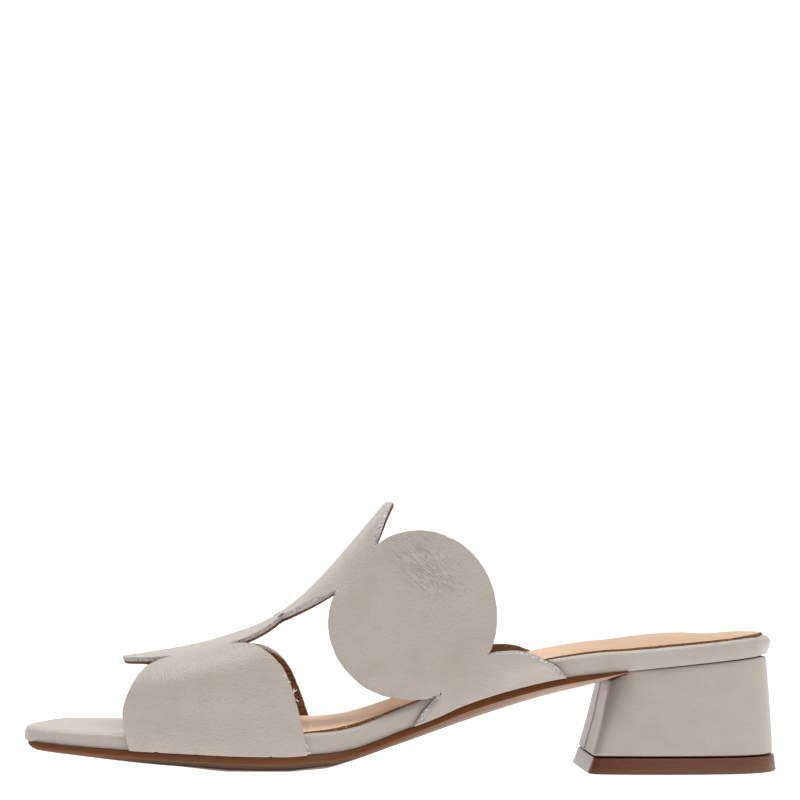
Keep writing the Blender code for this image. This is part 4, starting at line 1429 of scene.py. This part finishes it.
def make_heel():
    """Block covered in leather, lapped on the breast and drawn round its corners."""
    slab = slab_from(
        "covered_heel", heel_outline(HEEL_STEP, seam=True), COVER_GRID, HEEL_REACH,
        COVER_LEVELS, [heel_grain, sock_edge],
        lambda low, high, face: 1 if low >= COVER_TURNED_IN or (
            high > 0 and face.center.x < BREAST_X
            and abs(face.center.y - BREAST_SEAM) < SEAM_HALF
        ) else 0,
    )
    # Painted shade: each vertex gets how much the cover is painted darker behind the breast's
    # corner.
    fold = slab.data.attributes.new("fold", "FLOAT", "POINT")
    for vert in slab.data.vertices:
        x, share = vert.co.x, COVER_LEVELS[level_of(vert)][1]
        end = FOLD_SHADE_END + FOLD_SHADE_REACH * share
        behind = ease(x, *FOLD_SHADE_START) * (1.0 - ease(x, FOLD_SHADE_START[1], end))
        fold.data[vert.index].value = behind * (FOLD_SHADE_STRENGTH[0] + FOLD_SHADE_STRENGTH[1] * share)
    joint = LIFT_TOP + HEEL_GAP

    def place(x, y, level, out):
        offset, share, rise = COVER_LEVELS[level]
        px, py = block_point(x, y, share)
        if out.x < BREAST_FACING[0] and x < BREAST_FACING[1] and y > BREAST_SEAM:
            px -= SEAM_STEP * (1.0 - ease(y, *SEAM_FADE))
        low, high = BREAST_SWEEP
        swept = (low + (high - low) * share ** SWEEP_POWER) * ease(y, *SWEEP_Y)
        swept += BREAST_HOLLOW * ease(share, *HOLLOW_SHARE) * (1.0 - (y / HEEL_HALF) ** 2)
        px += swept * (1.0 - ease(x, *BREAST_FADE))
        waist = max(1.0 - ((x - WAIST_MIDDLE) / WAIST_HALF) ** 2, 0.0) ** 2
        waist *= WAIST_DEPTH * ease(share, *WAIST_SHARE)
        py -= math.copysign(waist, y) * abs(out.y)
        z = joint + (heel_seat(px) - twist(px) * across(px, py) - joint) * share + rise
        corner = ease(abs(y), *CORNER_Y) * (1.0 - ease(x, *CORNER_X))
        z -= CORNER_DROP * corner * max(share - CORNER_SHARE, 0.0) / (1.0 - CORNER_SHARE)
        return to_frame(px + out.x * offset, py + out.y * offset, z)

    return form(slab, place, HEEL_SHARP)


# Side of the lift from the top down: offset outwards, height.
LIFT_LEVELS = [
    (-0.1, LIFT_TOP), (0.3, LIFT_TOP - 0.1), (0.45, LIFT_TOP - 0.35), (0.75, 2.3),
    (1.05, FLOOR_Z + 0.5), (0.95, FLOOR_Z + 0.15), (0.5, FLOOR_Z),
]
LIFT_GRID = (3.0, 3.0)
LIFT_STEP = 0.9
# The lift's front slants out towards the floor: run of the slant, reach at the floor,
# and x over which both fade out.
LIFT_SLANT = 1.3
LIFT_TOE = 0.3
LIFT_FADE = (0.0, 30.0)


def make_lift():
    """Moulded rubber lift, its front face painted pale for its silvery reflection and slanting
    out to the floor.
    """
    slab = slab_from(
        "top_piece_lift", heel_outline(LIFT_STEP, seam=False), LIFT_GRID, HEEL_REACH,
        LIFT_LEVELS, [lift_rubber, lift_front_painted_reflection],
        lambda low, high, face: int(low > 0 and high < 5 and face.center.x < BREAST_X),
    )

    def place(x, y, level, out):
        offset, z = LIFT_LEVELS[level]
        px, py = block_point(x, y, 0.0)
        px += (LIFT_SLANT * z / LIFT_TOP - LIFT_TOE) * (1.0 - ease(x, *LIFT_FADE))
        return to_frame(px + out.x * offset, py + out.y * offset, z)

    return form(slab, place, HEEL_SHARP)


# Loose ends of thread: start, a point it bends through and end, all on the last.
THREADS = [
    ((85.5, -42.4, 34.9), (86.0, -42.8, 34.9), (86.3, -42.7, 34.3)),
    ((87.1, -42.5, 33.0), (87.5, -42.9, 32.7), (87.9, -42.7, 32.8)),
    ((88.6, -42.5, 29.3), (89.2, -42.9, 29.6), (89.9, -42.8, 30.2)),
    ((88.7, -42.5, 29.5), (89.0, -42.9, 30.0), (88.9, -42.8, 30.6)),
    ((89.6, -42.6, 26.9), (90.0, -42.9, 26.8), (90.4, -42.7, 26.3)),
    ((92.8, -42.6, 12.2), (93.4, -42.8, 11.8), (93.3, -42.7, 11.0)),
    ((93.2, -42.5, 9.6), (93.8, -42.8, 9.3), (94.5, -42.6, 9.5)),
    ((95.0, -33.0, 18.3), (95.5, -33.3, 17.0), (94.1, -34.0, 16.3)),
]
THREAD_RADIUS = 0.13
THREAD_SHARP = 60.0


def make_threads():
    """Loose ends of white sewing thread, each drawn as a short bent curve."""
    made, _, shader = new_material("spun_polyester_thread")
    shader.inputs["Base Color"].default_value = linear("#f6f3ee")
    shader.inputs["Roughness"].default_value = 0.8
    ends = []
    for start, bend, end in THREADS:
        pick()
        bpy.ops.curve.primitive_bezier_curve_add()
        curve = bpy.context.object
        curve.data.bevel_depth = THREAD_RADIUS * MM
        curve.data.bevel_resolution = 2
        curve.data.use_fill_caps = True
        for point, place in zip(curve.data.splines[0].bezier_points, (start, end)):
            point.handle_left_type = point.handle_right_type = "FREE"
            point.co = to_frame(*place)
            point.handle_left = point.handle_right = to_frame(*bend)
        bpy.ops.object.convert(target="MESH")
        curve.data.materials.append(made)
        ends.append(curve)
    return joined(ends, "thread_ends", THREAD_SHARP)


wear(make_threads(), "greige_leather")
wear(make_heel(), "greige_leather", "heel")
wear(make_lift(), "brown_sole", "top_piece")


# ---------------------------------------------------------------- floor, light and camera

# The room's light is a sum of lobes: axis that a direction is measured along, where on
# it the lobe starts and is full, strength at its start, gain and power.
WORLD_LIGHT = [
    ("Y", 0.0, 1.0, 0.22, 0.6, 1.0),
    ("Y", 0.9, 0.98, 0.0, 0.27, 1.0),
    ("X", 0.0, 1.0, 0.0, 0.22, 1.0),
    ("Z", 0.0, 1.0, 0.0, 3.85, 8.0),
]
FLOOR_SIZE = 12.0
# Camera: degrees off square, distance, point aimed at, height over the last's floor and
# lens, all but the lens and the angle in metres.
YAW = 4.85
DISTANCE = 1.3
AIM_X = 0.1275
CAMERA_HEIGHT = 0.1253
LENS_MM = 172.0


def make_floor():
    """Plain pale floor, lit from within like a light table, so that it stays white."""
    pick()
    bpy.ops.mesh.primitive_plane_add(size=FLOOR_SIZE)
    floor = bpy.context.object
    floor.name = "floor"
    made, _, shader = new_material("white_light_table_floor")
    shader.inputs["Base Color"].default_value = linear("#909090")
    shader.inputs["Roughness"].default_value = 0.9
    shader.inputs["Specular IOR Level"].default_value = 0.1
    shader.inputs["Emission Color"].default_value = linear("#ffffff")
    shader.inputs["Emission Strength"].default_value = 1.0
    floor.data.materials.append(made)


def make_light():
    """White studio light from the world alone.

    It is dim at the front, brighter behind the shoe and on the heel's side, with one
    strong soft lobe overhead.
    """
    world = bpy.data.worlds.new("studio")
    bpy.context.scene.world = world
    world.use_nodes = True
    tree = world.node_tree
    background = tree.nodes["Background"]
    background.inputs["Color"].default_value = linear("#ffffff")
    facing = add(tree, "ShaderNodeTexCoord").outputs["Generated"]
    axes = add(tree, "ShaderNodeSeparateXYZ", Vector=facing)
    total = None
    for axis, low, high, least, most, power in WORLD_LIGHT:
        share = add(tree, "ShaderNodeMapRange", {"From Min": low, "From Max": high},
                    Value=axes.outputs[axis])
        curve = add(tree, "ShaderNodeMath", {"operation": "POWER", 1: power},
                    _0=share.outputs[0])
        light = add(tree, "ShaderNodeMath", {"operation": "MULTIPLY_ADD", 1: most, 2: least},
                    _0=curve.outputs[0])
        if total is not None:
            light = add(tree, "ShaderNodeMath", {"operation": "ADD"}, _0=light.outputs[0],
                        _1=total)
        total = light.outputs[0]
    tree.links.new(total, background.inputs["Strength"])


def make_camera():
    """Level camera on the medial side, a little ahead of square to the shoe."""
    yaw = math.radians(YAW)
    lens = bpy.data.cameras.new("camera")
    lens.lens = LENS_MM
    lens.sensor_width = 36.0
    camera = bpy.data.objects.new("camera", lens)
    camera.location = (
        AIM_X + LAST_TO_FRAME.x - DISTANCE * math.sin(yaw),
        LAST_TO_FRAME.y - DISTANCE * math.cos(yaw),
        CAMERA_HEIGHT - FLOOR_Z * MM,
    )
    camera.rotation_euler = (math.pi / 2.0, 0.0, -yaw)
    bpy.context.scene.collection.objects.link(camera)
    bpy.context.scene.camera = camera


make_floor()
make_light()
make_camera()
bpy.context.scene.view_settings.view_transform = "Standard"
